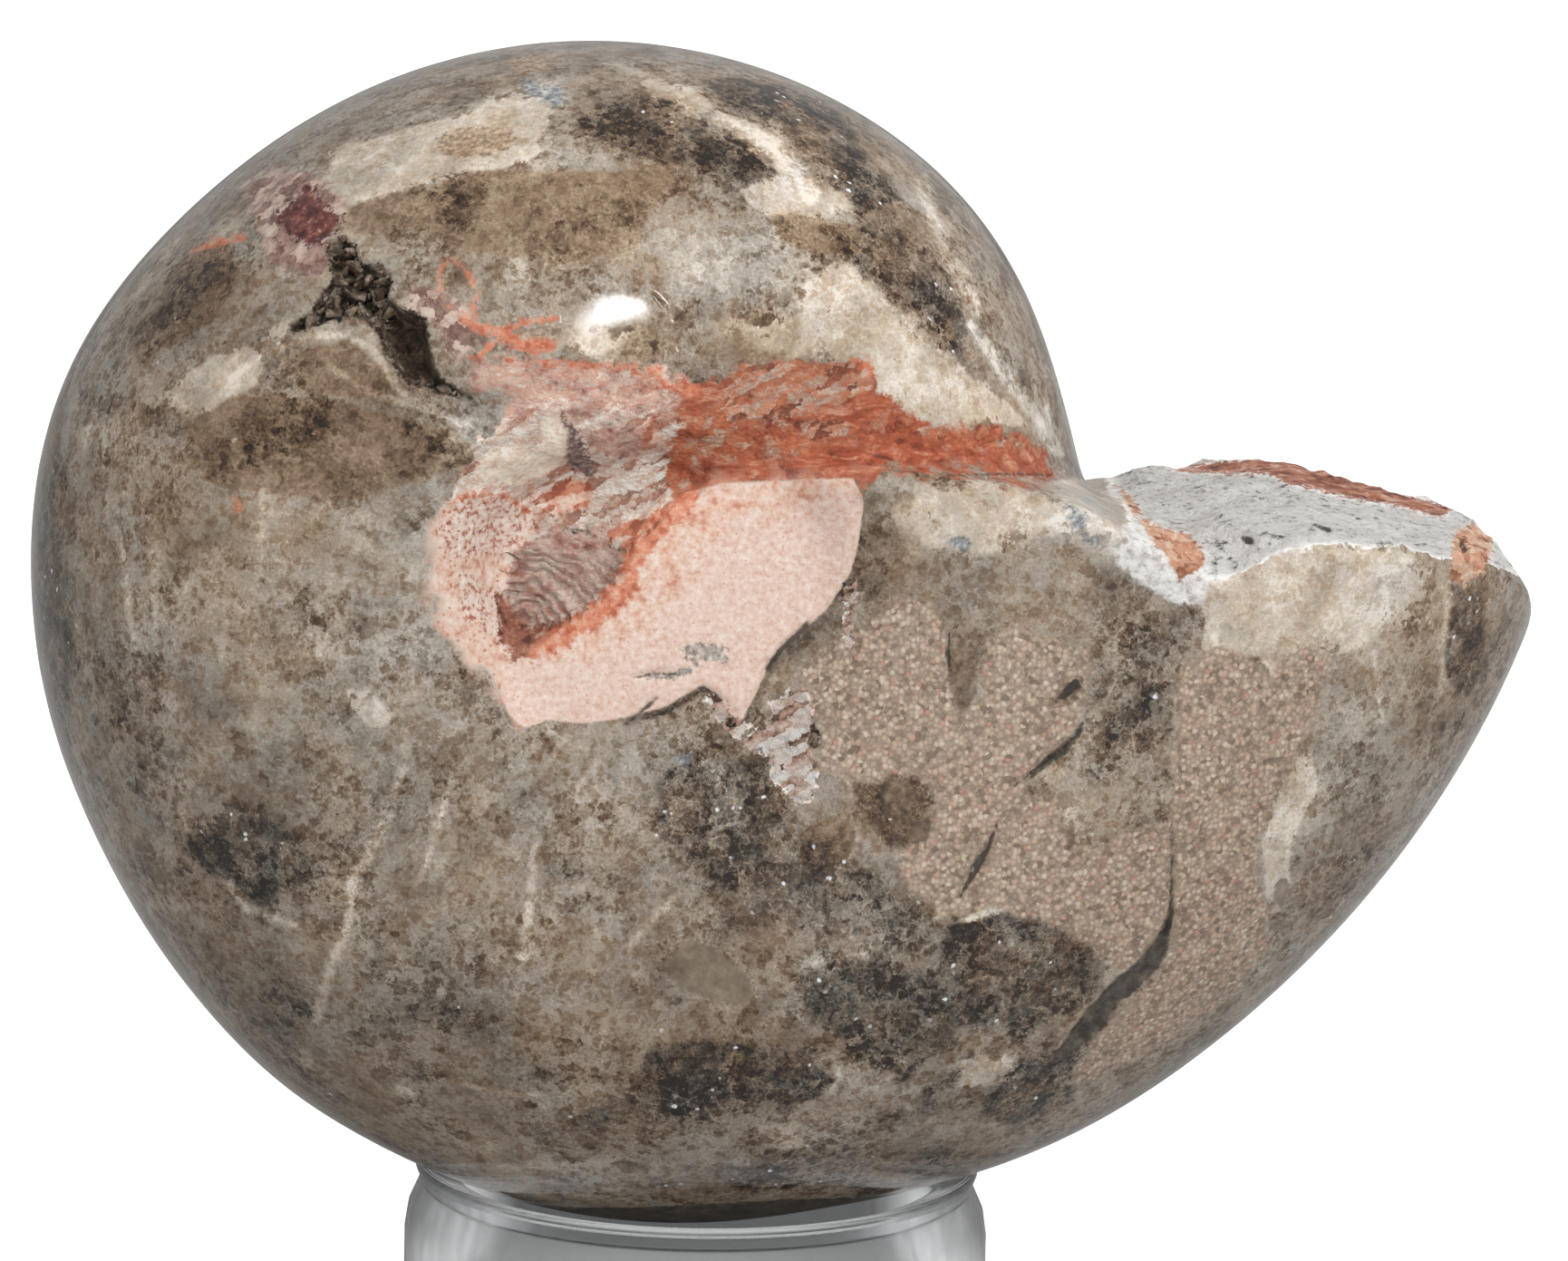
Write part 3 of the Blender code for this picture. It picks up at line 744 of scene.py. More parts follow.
        ((498, 862, 3), (477, 929, 4), (465, 970, 2)), ((498, 1192, 2), (540, 1203, 2), (598, 1209, 2)),
        ((589, 933, 4), (584, 1000, 5), (577, 1057, 3)), ((747, 987, 4), (722, 1012, 5), (693, 1045, 3)),
        ((1060, 1018, 4), (1110, 1000, 6), (1172, 985, 3)),
        ((1020, 195, 5), (1028, 240, 7), (1045, 275, 6), (1065, 310, 7), (1080, 345, 6)),
        ((790, 130, 6), (850, 160, 10), (880, 185, 9), (895, 215, 10)),
        ((1598, 650, 3), (1596, 700, 4), (1590, 765, 3)), ((1516, 720, 3), (1524, 794, 2)),
        ((105, 452, 2), (92, 490, 4)), ((133, 590, 2), (140, 660, 3), (150, 720, 2)),
        ((168, 610, 2), (172, 700, 2)), ((290, 540, 2), (288, 640, 1)), ((336, 1165, 8), (340, 1172, 6)),
        ((440, 1200, 6), (452, 1206, 5)), ((486, 1092, 4), (488, 1100, 3)),
        ((1298, 770, 2), (1296, 880, 2)), ((360, 400, 3), (400, 430, 4), (470, 452, 3), (520, 470, 3)),
        ((330, 1024, 3), (270, 1000, 4), (240, 960, 3)), ((1340, 700, 3), (1350, 760, 2)),
        ((256, 418, 3), (280, 398, 4), (313, 382, 4), (350, 370, 4), (386, 370, 3), (415, 388, 4),
         (430, 415, 4), (452, 442, 3), (493, 458, 3)),
        ((1032, 1012, 3), (1060, 1000, 4), (1100, 985, 5), (1150, 970, 4)),
        ((1200, 1020, 3), (1235, 1022, 3), (1250, 1045, 3), (1244, 1075, 2)),
        ((915, 1165, 2), (926, 1185, 3), (915, 1208, 2)), ((870, 1070, 3), (920, 1056, 3), (960, 1050, 2)),
        ((955, 850, 2), (935, 862, 2), (945, 890, 2), (950, 920, 2), (938, 945, 2)),
        ((1034, 880, 2), (1038, 905, 2), (1020, 930, 2), (990, 945, 2)),
        ((1010, 195, 3), (1022, 225, 5), (1036, 262, 5), (1052, 295, 5), (1064, 325, 4), (1072, 360, 4)),
        ((1430, 717, 2), (1410, 745, 3), (1396, 730, 2)),
    )},
    "paleVein": {"lines": (
        ((1072, 360, 5), (1090, 385, 7), (1120, 430, 6), (1150, 470, 7), (1162, 500, 5)),
        ((1155, 450, 3), (1170, 500, 4)), ((575, 540, 1), (600, 580, 2), (612, 560, 1)),
    )},
    # Painted shade along the lens's right and lower edges, over a shallow carved groove
    "shade": {"lines": (
        ((953, 560, 7), (950, 600, 8), (940, 640, 7), (912, 682, 6), (880, 712, 6), (852, 735, 5),
         (834, 772, 4), (822, 800, 3)),
        ((812, 790, 3), (790, 768, 3), (776, 760, 3), (735, 786, 3), (690, 798, 3)),
        ((965, 560, 14), (975, 610, 20), (960, 645, 10)),
    ), "relief": True},
    "crack": {"lines": (
        ((1187, 754, 5), (1176, 764, 5), (1164, 776, 1)),
        ((1190, 808, 1), (1172, 826, 2), (1150, 842, 2), (1118, 868, 1)),
        ((1100, 909, 1), (1090, 935, 3), (1078, 955, 5), (1060, 989, 1)),
        ((1293, 890, 0), (1293, 950, 1), (1292, 1010, 3), (1286, 1030, 4)),
        ((1047, 698, 1), (1046, 722, 3), (1049, 745, 1)),
        ((700, 748, 1), (722, 743, 1), (750, 744, 1)), ((604, 583, 0), (640, 584, 1), (684, 604, 0)),
        # The first line here, along the seam at the red band's foot, is painted shadow of the lobe's step,
        # carved as a groove too
        ((1010, 525, 0), (1100, 523, 1), (1160, 524, 1)), ((1448, 578, 1), (1466, 585, 3)),
        ((1372, 594, 3), (1380, 597, 4)), ((1612, 600, 3), (1616, 606, 3)),
        ((890, 690, 3), (862, 716, 3), (846, 738, 2)), ((700, 794, 1), (735, 786, 2), (770, 764, 1)),
        ((690, 800, 1), (716, 778, 2), (724, 770, 1)), ((736, 564, 0), (720, 582, 1), (708, 590, 0)),
        ((505, 436, 2), (490, 430, 3), (470, 420, 1)),
    ), "relief": True},
    "seam": {"lines": (
        ((1290, 1015, 2), (1280, 1045, 9), (1262, 1070, 11), (1240, 1088, 12), (1222, 1100, 8)),
        ((1228, 1098, 9), (1210, 1122, 14), (1190, 1145, 11), (1166, 1168, 4)),
        ((1200, 785, 1), (1186, 815, 4), (1168, 832, 5), (1150, 845, 4), (1130, 862, 1)),
    ), "relief": True},
    "ledge": {"lines": (
        ((720, 326, 1), (735, 344, 2), (773, 353, 3), (790, 352, 1), (815, 346, 1)),
        ((722, 360, 1), (732, 368, 2), (747, 384, 1)), ((733, 350, 1), (738, 366, 1)),
    ), "relief": True},
}


far = 400.0   # pixels: out of every feature's reach


def facing(points, normals):
    # 1 where the stone looks straight at the camera, below 0 where it looks away
    ways = np.array(cameraPlace) - points
    ways /= np.linalg.norm(ways, axis=1)[:, None]
    return (ways * normals).sum(axis=1)


def cloudField(chart, shapes):
    field = np.zeros(len(chart))
    for x, y, long, wide, turn, strength in shapes:
        angle = math.radians(turn)
        along = (chart[:, 0] - x) * math.cos(angle) + (chart[:, 1] - y) * math.sin(angle)
        aside = (chart[:, 1] - y) * math.cos(angle) - (chart[:, 0] - x) * math.sin(angle)
        reach = np.hypot(along / long, aside / wide)
        field = np.maximum(field, strength * (1.0 - smoothstep(reach, 0.2, 1.6)))
    return field


def toLine(chart, one, two):
    # How far each place is from the line between two points, and how far along it the nearest point is
    edge = np.array(two[:2], float) - np.array(one[:2], float)
    share = np.clip((chart - one[:2]) @ edge / max(edge @ edge, 1e-9), 0.0, 1.0)
    return np.linalg.norm(chart - one[:2] - share[:, None] * edge, axis=1), share


def areaField(chart, corners):
    # Pixels to an outline, negative inside
    away = np.full(len(chart), 1e6)
    inside = np.zeros(len(chart), bool)
    for one, two in zip(corners, corners[1:] + corners[:1]):
        away = np.minimum(away, toLine(chart, one, two)[0])
        crosses = (one[1] > chart[:, 1]) != (two[1] > chart[:, 1])
        rise = (two[1] - one[1]) or 1e-9
        inside ^= crosses & (chart[:, 0] < one[0] + (chart[:, 1] - one[1]) / rise * (two[0] - one[0]))
    return np.where(inside, -away, away)


def featureField(chart, name):
    nearest = np.full(len(chart), far)
    for corners in features[name].get("areas", ()):
        nearest = np.minimum(nearest, areaField(chart, corners))
    for line in features[name].get("lines", ()):
        for one, two in zip(line, line[1:]):
            away, share = toLine(chart, one, two)
            nearest = np.minimum(nearest, away - (one[2] + (two[2] - one[2]) * share))
    return nearest


def meshArrays(mesh):
    # Where the vertices are, and which way the surface looks there
    arrays = []
    for items, key in ((mesh.vertices, "co"), (mesh.vertex_normals, "vector")):
        values = np.empty(len(mesh.vertices) * 3, np.float32)
        items.foreach_get(key, values)
        arrays.append(values.reshape(-1, 3).astype(float))
    return arrays


def frontShare(points, normals):
    # 1 where the photograph shows the surface, 0 where it doesn't
    return smoothstep(facing(points, normals), *photo["shown"])


def mouthShare(points, normals):
    # 1 on the broken face of the mouth
    up = smoothstep(normals[:, 2], *mouth["facesUp"])
    level = np.abs(points[:, 2] - mouthHeight(points[:, 0], points[:, 1]))
    return up * smoothstep(points[:, 0], *mouth["starts"]) * (1.0 - smoothstep(level, *mouth["fades"]))


# Finer faces at lines and carved features: within each reach in pixels, faces are halved once more,
# and for the second time only at lines and the features that are carved deepest

fineness = {
    "reaches": (12.0, 4.0), "smoothing": 0.5, "mouthFrom": 0.2,
    "deepest": ("pocket", "knot", "crumble", "bloom"), "edgesOnly": ("pink", "rim"),
}


def refine(obj):
    for level, reach in enumerate(fineness["reaches"]):
        mesh = bmesh.new()
        mesh.from_mesh(obj.data)
        faces = list(mesh.faces)
        centres = np.array([face.calc_center_median() for face in faces])
        normals = np.array([face.normal for face in faces])
        chart = toPicture(centres)
        near = np.full(len(faces), far)
        for name, feature in features.items():
            if "lines" in feature or name in fineness["deepest"] or level == 0 and feature.get("relief"):
                field = featureField(chart, name)
                near = np.minimum(near, np.abs(field) if name in fineness["edgesOnly"] else field)
        chosen = (near < reach) & (facing(centres, normals) > photo["shown"][1])
        if level == 0:
            chosen |= mouthShare(centres, normals) > fineness["mouthFrom"]
        edges = {edge for face, wanted in zip(faces, chosen) if wanted for edge in face.edges}
        before = set(mesh.verts)
        bmesh.ops.subdivide_edges(mesh, edges=list(edges), cuts=1, use_grid_fill=True)
        made = [vert for vert in mesh.verts if vert not in before]
        bmesh.ops.smooth_vert(mesh, verts=made, factor=fineness["smoothing"],
                              use_axis_x=True, use_axis_y=True, use_axis_z=True)
        mesh.to_mesh(obj.data)
        mesh.free()


# Relief in mm. A lump has its height, then its noise: size, octaves and seed. A groove has its depth,
# and how far inside the outline it starts and is full, in pixels.

relief = {
    "pit": (600, 600, 85, 85, 0, 1.0), "pitDepth": 1.4, "edge": (-2.0, 8.0),
    "lumps": {
        "wall": (0.45, 2.2, 5, 4.0), "crumble": (0.5, 1.3, 4, 9.0), "bloom": (0.35, 1.3, 4, 9.0),
        "rose": (0.3, 1.3, 4, 9.0), "foot": (0.4, 1.3, 4, 9.0), "mouth": (0.4, 2.6, 5, 14.0),
    },
    "redShare": 0.6, "chipsShare": 0.4, "orangeRise": 0.12,
    "knotRidge": 0.38, "knotCentre": (572.0, 705.0), "knotPitch": 13.0, "knotSway": 0.9,
    "knotNoise": (2.4, 3, 2.0),
    "pocketDepth": 3.2, "pocketEdge": (-1.0, 16.0), "pocketRough": 0.55, "pocketNoise": (1.1, 3, 6.0),
    "grooves": {
        "crack": (0.35, -3.0, 1.5), "seam": (0.5, -2.0, 8.0), "shade": (0.35, -6.0, 4.0),
        "ledge": (0.14, -4.0, 1.0),
    },
}


def noiseWhere(mask, points, size, octaves, seed):
    field = np.zeros(len(points))
    chosen = mask > 0.001
    field[chosen] = lumpy(points[chosen], size, octaves, seed)
    return field


def carve(obj):
    points, normals = meshArrays(obj.data)
    chart = toPicture(points)
    front = frontShare(points, normals)
    field = {name: featureField(chart, name) for name, feature in features.items() if feature.get("relief")}
    inside = {name: smoothstep(-away, *relief["edge"]) * front for name, away in field.items()}
    stained = relief["redShare"] * inside["red"] + relief["chipsShare"] * inside["chips"]
    rough = {**inside, "wall": np.maximum(inside["wall"], stained * (1.0 - inside["pink"])),
             "mouth": mouthShare(points, normals)}
    depth = -relief["pitDepth"] * cloudField(chart, (relief["pit"],)) * front
    for name, (height, *grain) in relief["lumps"].items():
        depth += height * rough[name] * noiseWhere(rough[name], points, *grain)
    for name, (deep, *edge) in relief["grooves"].items():
        depth -= deep * smoothstep(-field[name], *edge) * front
    depth += relief["orangeRise"] * inside["orange"]
    # The knot's curled ridges
    rings = np.hypot(*(chart - relief["knotCentre"]).T) / relief["knotPitch"]
    sway = relief["knotSway"] * noiseWhere(inside["knot"], points, *relief["knotNoise"])
    depth += relief["knotRidge"] * inside["knot"] * np.sin(math.tau * (rings + sway))
    # The pocket
    sunk = smoothstep(-field["pocket"], *relief["pocketEdge"]) * front
    uneven = relief["pocketRough"] * noiseWhere(sunk, points, *relief["pocketNoise"])
    depth -= relief["pocketDepth"] * sunk * (1.0 + uneven)
    moved = points + normals * depth[:, None]
    obj.data.vertices.foreach_set("co", moved.astype(np.float32).ravel())
    obj.data.update()


def addField(mesh, name, values):
    made = mesh.attributes.new(name, "FLOAT", "POINT")
    made.data.foreach_set("value", values.astype(np.float32))


refine(fossil)
brokenShare = mouthShare(*meshArrays(fossil.data))
carve(fossil)
print("stone carved:", sum(len(face.vertices) - 2 for face in fossil.data.polygons), "triangles")

# Colours of the stone's kinds of matter, dark to light

calciteTones = {
    "cool": ((0.0, (0.020, 0.018, 0.015)), (0.25, (0.080, 0.069, 0.056)), (0.5, (0.205, 0.175, 0.140)),
             (0.7, (0.350, 0.312, 0.265)), (0.88, (0.530, 0.475, 0.405)), (1.0, (0.72, 0.67, 0.61))),
    "warm": ((0.0, (0.022, 0.014, 0.010)), (0.25, (0.092, 0.055, 0.032)), (0.5, (0.225, 0.152, 0.095)),
             (0.7, (0.370, 0.280, 0.192)), (0.88, (0.570, 0.460, 0.345)), (1.0, (0.74, 0.65, 0.54))),
}

# Each finish lies over those above it: its pattern's colours, how far its edge is torn and how soft it
# is in pixels of the picture, and how much it hides of what lies below
finishes = {
    "brown": {"pattern": "Medium", "fray": 6, "soft": 3, "cover": 0.75, "roughness": 0.15, "relief": 0.0,
              "stops": ((0.2, (0.05, 0.032, 0.020)), (0.5, (0.13, 0.085, 0.052)), (0.9, (0.30, 0.22, 0.15)))},
    "tan": {"pattern": "Coarse", "fray": 3, "soft": 2, "cover": 0.85, "roughness": 0.15, "relief": 0.0,
            "stops": ((0.1, (0.13, 0.098, 0.066)), (0.5, (0.19, 0.15, 0.105)), (0.9, (0.27, 0.22, 0.16)))},
    "blueGrey": {"pattern": "Fine", "fray": 7, "soft": 3, "cover": 0.85, "roughness": 0.15, "relief": 0.0,
                 "stops": ((0.15, (0.07, 0.08, 0.09)), (0.5, (0.20, 0.22, 0.24)),
                           (0.85, (0.44, 0.46, 0.48)))},
    "seam": {"pattern": "Medium", "fray": 4, "soft": 2, "cover": 0.9, "roughness": 0.35, "relief": 0.2,
             "stops": ((0.2, (0.022, 0.019, 0.016)), (0.55, (0.055, 0.047, 0.038)),
                       (0.9, (0.13, 0.105, 0.08)))},
    "pebble": {"pattern": "Fine", "fray": 6, "soft": 3, "cover": 0.75, "roughness": 0.15, "relief": 0.0,
               "stops": ((0.2, (0.12, 0.07, 0.035)), (0.5, (0.31, 0.20, 0.12)), (0.85, (0.56, 0.42, 0.30)))},
    "rose": {"pattern": "Chips", "fray": 22, "soft": 6, "cover": 0.85, "roughness": 0.3,
             "relief": 0.3,
             "stops": ((0.10, (0.14, 0.06, 0.05)), (0.4, (0.36, 0.23, 0.19)), (0.6, (0.55, 0.40, 0.33)),
                       (0.95, (0.72, 0.60, 0.52)))},
    "maroon": {"pattern": "Medium", "fray": 16, "soft": 3, "cover": 0.95, "roughness": 0.3, "relief": 0.3,
               "stops": ((0.1, (0.035, 0.012, 0.012)), (0.45, (0.11, 0.030, 0.028)),
                         (0.7, (0.22, 0.07, 0.055)), (0.95, (0.50, 0.34, 0.28)))},
    "mouthLip": {"pattern": "Medium", "fray": 8, "soft": 3, "cover": 0.9, "roughness": 0.6, "relief": 0.5,
                 "stops": ((0.1, (0.42, 0.40, 0.37)), (0.5, (0.76, 0.74, 0.71)), (0.9, (0.88, 0.87, 0.85)))},
    "crest": {"pattern": "Streaks", "fray": 10, "soft": 2, "cover": 1.0, "roughness": 0.5, "relief": 0.5,
              "stops": ((0.1, (0.07, 0.035, 0.025)), (0.35, (0.26, 0.09, 0.055)), (0.6, (0.44, 0.18, 0.11)),
                        (0.95, (0.64, 0.48, 0.40)))},
    "wall": {"pattern": "Flakes", "fray": 34, "soft": 5, "cover": 1.0, "roughness": 0.55,
             "relief": 0.9,
             "stops": ((0.05, (0.42, 0.21, 0.15)), (0.18, (0.66, 0.43, 0.34)), (0.34, (0.84, 0.68, 0.57)),
                       (0.48, (0.70, 0.61, 0.53)), (0.66, (0.90, 0.80, 0.69)), (0.95, (0.95, 0.90, 0.82))),
             "veins": (0.45, (0.60, 0.25, 0.16))},
    "mauve": {"pattern": "Medium", "fray": 30, "soft": 8, "cover": 0.85, "roughness": 0.45,
              "relief": 0.5,
              "stops": ((0.08, (0.19, 0.09, 0.07)), (0.32, (0.42, 0.26, 0.21)), (0.55, (0.57, 0.41, 0.34)),
                        (0.75, (0.64, 0.38, 0.28)), (0.95, (0.82, 0.72, 0.64))),
              "veins": (0.5, (0.50, 0.17, 0.10))},
    "flakes": {"pattern": "Flakes", "fray": 20, "soft": 3, "cover": 0.95, "roughness": 0.5,
               "relief": 0.8,
               "stops": ((0.1, (0.34, 0.20, 0.15)), (0.28, (0.68, 0.54, 0.44)), (0.55, (0.84, 0.77, 0.68)),
                         (0.9, (0.93, 0.89, 0.82))),
               "veins": (0.5, (0.64, 0.30, 0.19))},
    "rust": {"pattern": "Flakes", "fray": 34, "soft": 5, "cover": 0.85, "roughness": 0.4,
             "relief": 0.5,
             "stops": ((0.1, (0.36, 0.09, 0.045)), (0.35, (0.66, 0.22, 0.11)), (0.6, (0.74, 0.38, 0.25)),
                       (0.8, (0.84, 0.70, 0.60)))},
    "slate": {"pattern": "Fine", "fray": 10, "soft": 3, "cover": 0.95, "roughness": 0.6, "relief": 0.8,
              "stops": ((0.1, (0.09, 0.05, 0.05)), (0.5, (0.21, 0.135, 0.125)), (0.9, (0.46, 0.36, 0.32)))},
    "red": {"pattern": "Chips", "fray": 26, "soft": 5, "cover": 1.0, "roughness": 0.35,
            "relief": 0.6,
            "stops": ((0.05, (0.18, 0.04, 0.02)), (0.26, (0.44, 0.115, 0.05)), (0.45, (0.58, 0.19, 0.09)),
                      (0.58, (0.44, 0.17, 0.095)), (0.72, (0.54, 0.34, 0.24)), (0.92, (0.62, 0.52, 0.42))),
            "veins": (0.6, (0.30, 0.075, 0.040))},
    # Darker red stain, partly painted shade of the recess along the seam
    "deepRed": {"pattern": "Streaks", "fray": 24, "soft": 9, "cover": 0.9,
                "roughness": 0.3, "relief": 0.5,
                "stops": ((0.05, (0.11, 0.022, 0.014)), (0.35, (0.31, 0.065, 0.030)),
                          (0.62, (0.44, 0.115, 0.055)), (0.95, (0.60, 0.32, 0.21)))},
    "chips": {"pattern": "Flakes", "fray": 24, "soft": 4, "cover": 0.9, "roughness": 0.4,
              "relief": 0.7,
              "stops": ((0.0, (0.16, 0.05, 0.03)), (0.18, (0.48, 0.15, 0.075)), (0.36, (0.56, 0.23, 0.13)),
                        (0.48, (0.46, 0.33, 0.25)), (0.6, (0.64, 0.52, 0.42)), (0.70, (0.60, 0.23, 0.12)),
                        (0.95, (0.70, 0.56, 0.45))),
              "veins": (0.35, (0.34, 0.15, 0.10))},
    "rim": {"pattern": "Medium", "fray": 26, "soft": 9, "cover": 0.95, "roughness": 0.35,
            "relief": 0.3,
            "stops": ((0.05, (0.52, 0.25, 0.17)), (0.35, (0.65, 0.425, 0.33)), (0.6, (0.71, 0.54, 0.44)),
                      (0.95, (0.79, 0.69, 0.61))),
            "specks": (0.42, 0.22, (0.45, 0.14, 0.08))},
    "pink": {"pattern": "Fine", "fray": 3, "soft": 1.5, "cover": 1.0, "roughness": 0.38, "relief": 0.16,
             "stops": ((0.0, (0.58, 0.37, 0.28)), (0.3, (0.655, 0.465, 0.375)), (0.5, (0.69, 0.515, 0.43)),
                       (0.7, (0.72, 0.565, 0.485)), (1.0, (0.77, 0.65, 0.57))),
             "specks": (0.30, 0.14, (0.60, 0.29, 0.18))},
    "flush": {"pattern": "Medium", "fray": 60, "soft": 26, "cover": 0.85, "roughness": 0.4,
              "relief": 0.2,
              "stops": ((0.1, (0.50, 0.20, 0.12)), (0.4, (0.64, 0.36, 0.25)), (0.7, (0.71, 0.50, 0.40)),
                        (0.95, (0.76, 0.62, 0.53)))},
    "blushed": {"pattern": "Fine", "fray": 30, "soft": 6, "cover": 0.8, "roughness": 0.5,
                "relief": 0.6,
                "stops": ((0.2, (0.30, 0.09, 0.06)), (0.34, (0.52, 0.24, 0.16)), (0.44, (0.72, 0.54, 0.45)),
                          (0.9, (0.84, 0.76, 0.69)))},
    "cream": {"pattern": "Medium", "fray": 9, "soft": 2, "cover": 0.95, "roughness": 0.55, "relief": 0.5,
              "stops": ((0.1, (0.62, 0.46, 0.34)), (0.5, (0.82, 0.70, 0.56)), (0.9, (0.90, 0.83, 0.72)))},
    "grey": {"pattern": "Fine", "fray": 8, "soft": 2, "cover": 0.9, "roughness": 0.4, "relief": 0.3,
             "stops": ((0.1, (0.14, 0.12, 0.10)), (0.5, (0.38, 0.34, 0.30)), (0.9, (0.58, 0.52, 0.46)))},
    "knot": {"pattern": "Coarse", "fray": 9, "soft": 2, "cover": 1.0, "roughness": 0.45, "relief": 0.6,
             "stops": ((0.02, (0.22, 0.09, 0.065)), (0.28, (0.46, 0.28, 0.22)), (0.5, (0.58, 0.465, 0.395)),
                       (0.75, (0.62, 0.51, 0.43)), (0.95, (0.74, 0.61, 0.53))),
             "veins": (0.5, (0.36, 0.11, 0.075))},
    "foot": {"pattern": "Medium", "fray": 12, "soft": 3, "cover": 0.95, "roughness": 0.5, "relief": 0.8,
             "stops": ((0.1, (0.10, 0.04, 0.03)), (0.45, (0.32, 0.11, 0.07)), (0.75, (0.50, 0.23, 0.15)),
                       (0.95, (0.66, 0.46, 0.36)))},
    "orange": {"pattern": "Medium", "fray": 12, "soft": 4, "cover": 0.92, "roughness": 0.4, "relief": 0.5,
               "stops": ((0.08, (0.40, 0.10, 0.05)), (0.4, (0.64, 0.21, 0.115)), (0.65, (0.72, 0.33, 0.21)),
                         (0.95, (0.78, 0.56, 0.45)))},
    "bloom": {"pattern": "Chips", "fray": 9, "soft": 2, "cover": 1.0, "roughness": 0.6, "relief": 0.8,
              "stops": ((0.05, (0.30, 0.12, 0.07)), (0.3, (0.66, 0.33, 0.20)), (0.55, (0.78, 0.48, 0.33)),
                        (0.9, (0.84, 0.69, 0.56)))},
    "crumble": {"pattern": "Flakes", "fray": 12, "soft": 2, "cover": 1.0, "roughness": 0.5, "relief": 1.0,
                "stops": ((0.08, (0.12, 0.07, 0.05)), (0.26, (0.60, 0.37, 0.28)), (0.46, (0.80, 0.66, 0.58)),
                          (0.8, (0.92, 0.87, 0.81)))},
    "pocket": {"pattern": "Medium", "fray": 12, "soft": 2.5, "cover": 1.0, "roughness": 0.25, "relief": 1.0,
               "stops": ((0.1, (0.014, 0.011, 0.009)), (0.38, (0.052, 0.038, 0.028)),
                         (0.58, (0.15, 0.11, 0.082)), (0.88, (0.46, 0.38, 0.30)))},
    "hollow": {"pattern": "Coarse", "fray": 10, "soft": 4, "cover": 0.9, "roughness": 0.2, "relief": 0.1,
               "stops": ((0.1, (0.050, 0.034, 0.024)), (0.5, (0.13, 0.090, 0.062)),
                         (0.9, (0.26, 0.19, 0.135)))},
}

# How the fields are laid out, in pixels, and in mm where the stone's own places are meant
layout = {
    "sway": 11.0, "swaySize": 5.0, "swaySeeds": (1.7, 7.3), "octaves": 4,
    "patchSway": 0.35, "patchEdge": (-9.0, 9.0), "finishEdge": 2.0,
    "lapped": ("red", "deepRed"), "lapFrom": 21.0, "lapOver": 3.0,
    "behindFrom": 0.2, "behindRed": 60.0, "behindRedTo": 38.0,
}


def unseenFields(points, normals, lap):
    # On the other side only the lens and the red band over it are told apart
    plan = points[:, [0, 2]] / photo["mmPerPixel"]
    lens = tuple((x / photo["mmPerPixel"], z / photo["mmPerPixel"]) for x, z in matrix["lens"])
    behind = normals[:, 1] > layout["behindFrom"]
    pink = np.where(behind, areaField(plan, lens), far)
    banded = behind & (lap < 0) & (points[:, 0] < layout["behindRedTo"])
    band = np.abs(pink - layout["behindRed"]) - layout["behindRed"]
    return {"pink": pink, "red": np.where(banded, band, far)}


def belowMouth(points):
    # How far each point lies below the mouth's break, in pixels
    return (mouthHeight(points[:, 0], points[:, 1]) - points[:, 2]) / photo["mmPerPixel"]


def shadedUnderside(points):
    # Painted shade: the stone's underside inside the ring, darkened where the ring and the stone shade it
    fromRing = np.hypot(points[:, 0] + seating["aside"], points[:, 1])
    spot = (fromRing - stone["restingReach"]) / photo["mmPerPixel"]
    return np.where(points[:, 2] < stone["restingBelow"], spot, far)


def layOutColours(obj, broken):
    points, normals = meshArrays(obj.data)
    chart = toPicture(points)
    front = frontShare(points, normals)
    sway = layout["sway"] * np.stack([lumpy(points, layout["swaySize"], layout["octaves"], seed)
                                      for seed in layout["swaySeeds"]], axis=1)
    for name, shapes in clouds.items():
        size, low, high, seed = unseenClouds[name]
        unseen = smoothstep(lumpy(points, size, layout["octaves"], seed), low, high)
        seen = cloudField(chart + sway, shapes)
        for corners in patches.get(name, ()):
            field = areaField(chart + sway * layout["patchSway"], corners)
            seen = np.maximum(seen, smoothstep(-field, *layout["patchEdge"]))
        addField(obj.data, name, seen * front + unseen * (1.0 - front))
    lap = belowMouth(points)
    unseen = unseenFields(points, normals, lap)
    roughness = stone["polish"] + (stone["mouthRoughness"] - stone["polish"]) * broken
    raised = broken.copy()
    for name in features:
        field = featureField(chart, name)
        if name in layout["lapped"]:
            lapped = points[:, 0] > layout["lapFrom"]
            field = np.maximum(field, np.where(lapped, lap + layout["lapOver"], -far))
        field = field * front + unseen.get(name, far) * (1.0 - front)
        # The seam's dark finish also paints shade on the stone's underside inside the ring
        if name == "seam":
            field = np.minimum(field, shadedUnderside(points))
        addField(obj.data, name, field)
        if name in finishes:
            finish = finishes[name]
            soft = finish["soft"]
            share = smoothstep(-field, -soft - layout["finishEdge"], soft) * finish["cover"]
            roughness += (finish["roughness"] - roughness) * share
            raised += (finish["relief"] - raised) * share
    for name, field in {"mouth": broken, "roughness": roughness, "raised": raised}.items():
        addField(obj.data, name, field)


layOutColours(fossil, brokenShare)
print("colours laid out")


def ramp(value, stops):
    made = place(value.tree, "ShaderNodeValToRGB", {"Fac": value})
    colours = made.node.color_ramp
    for _ in stops[2:]:
        colours.elements.new(1.0)
    for element, (at, colour) in zip(colours.elements, stops):
        element.position = at
        element.color = (*colour, 1.0)
    return made["Color"]


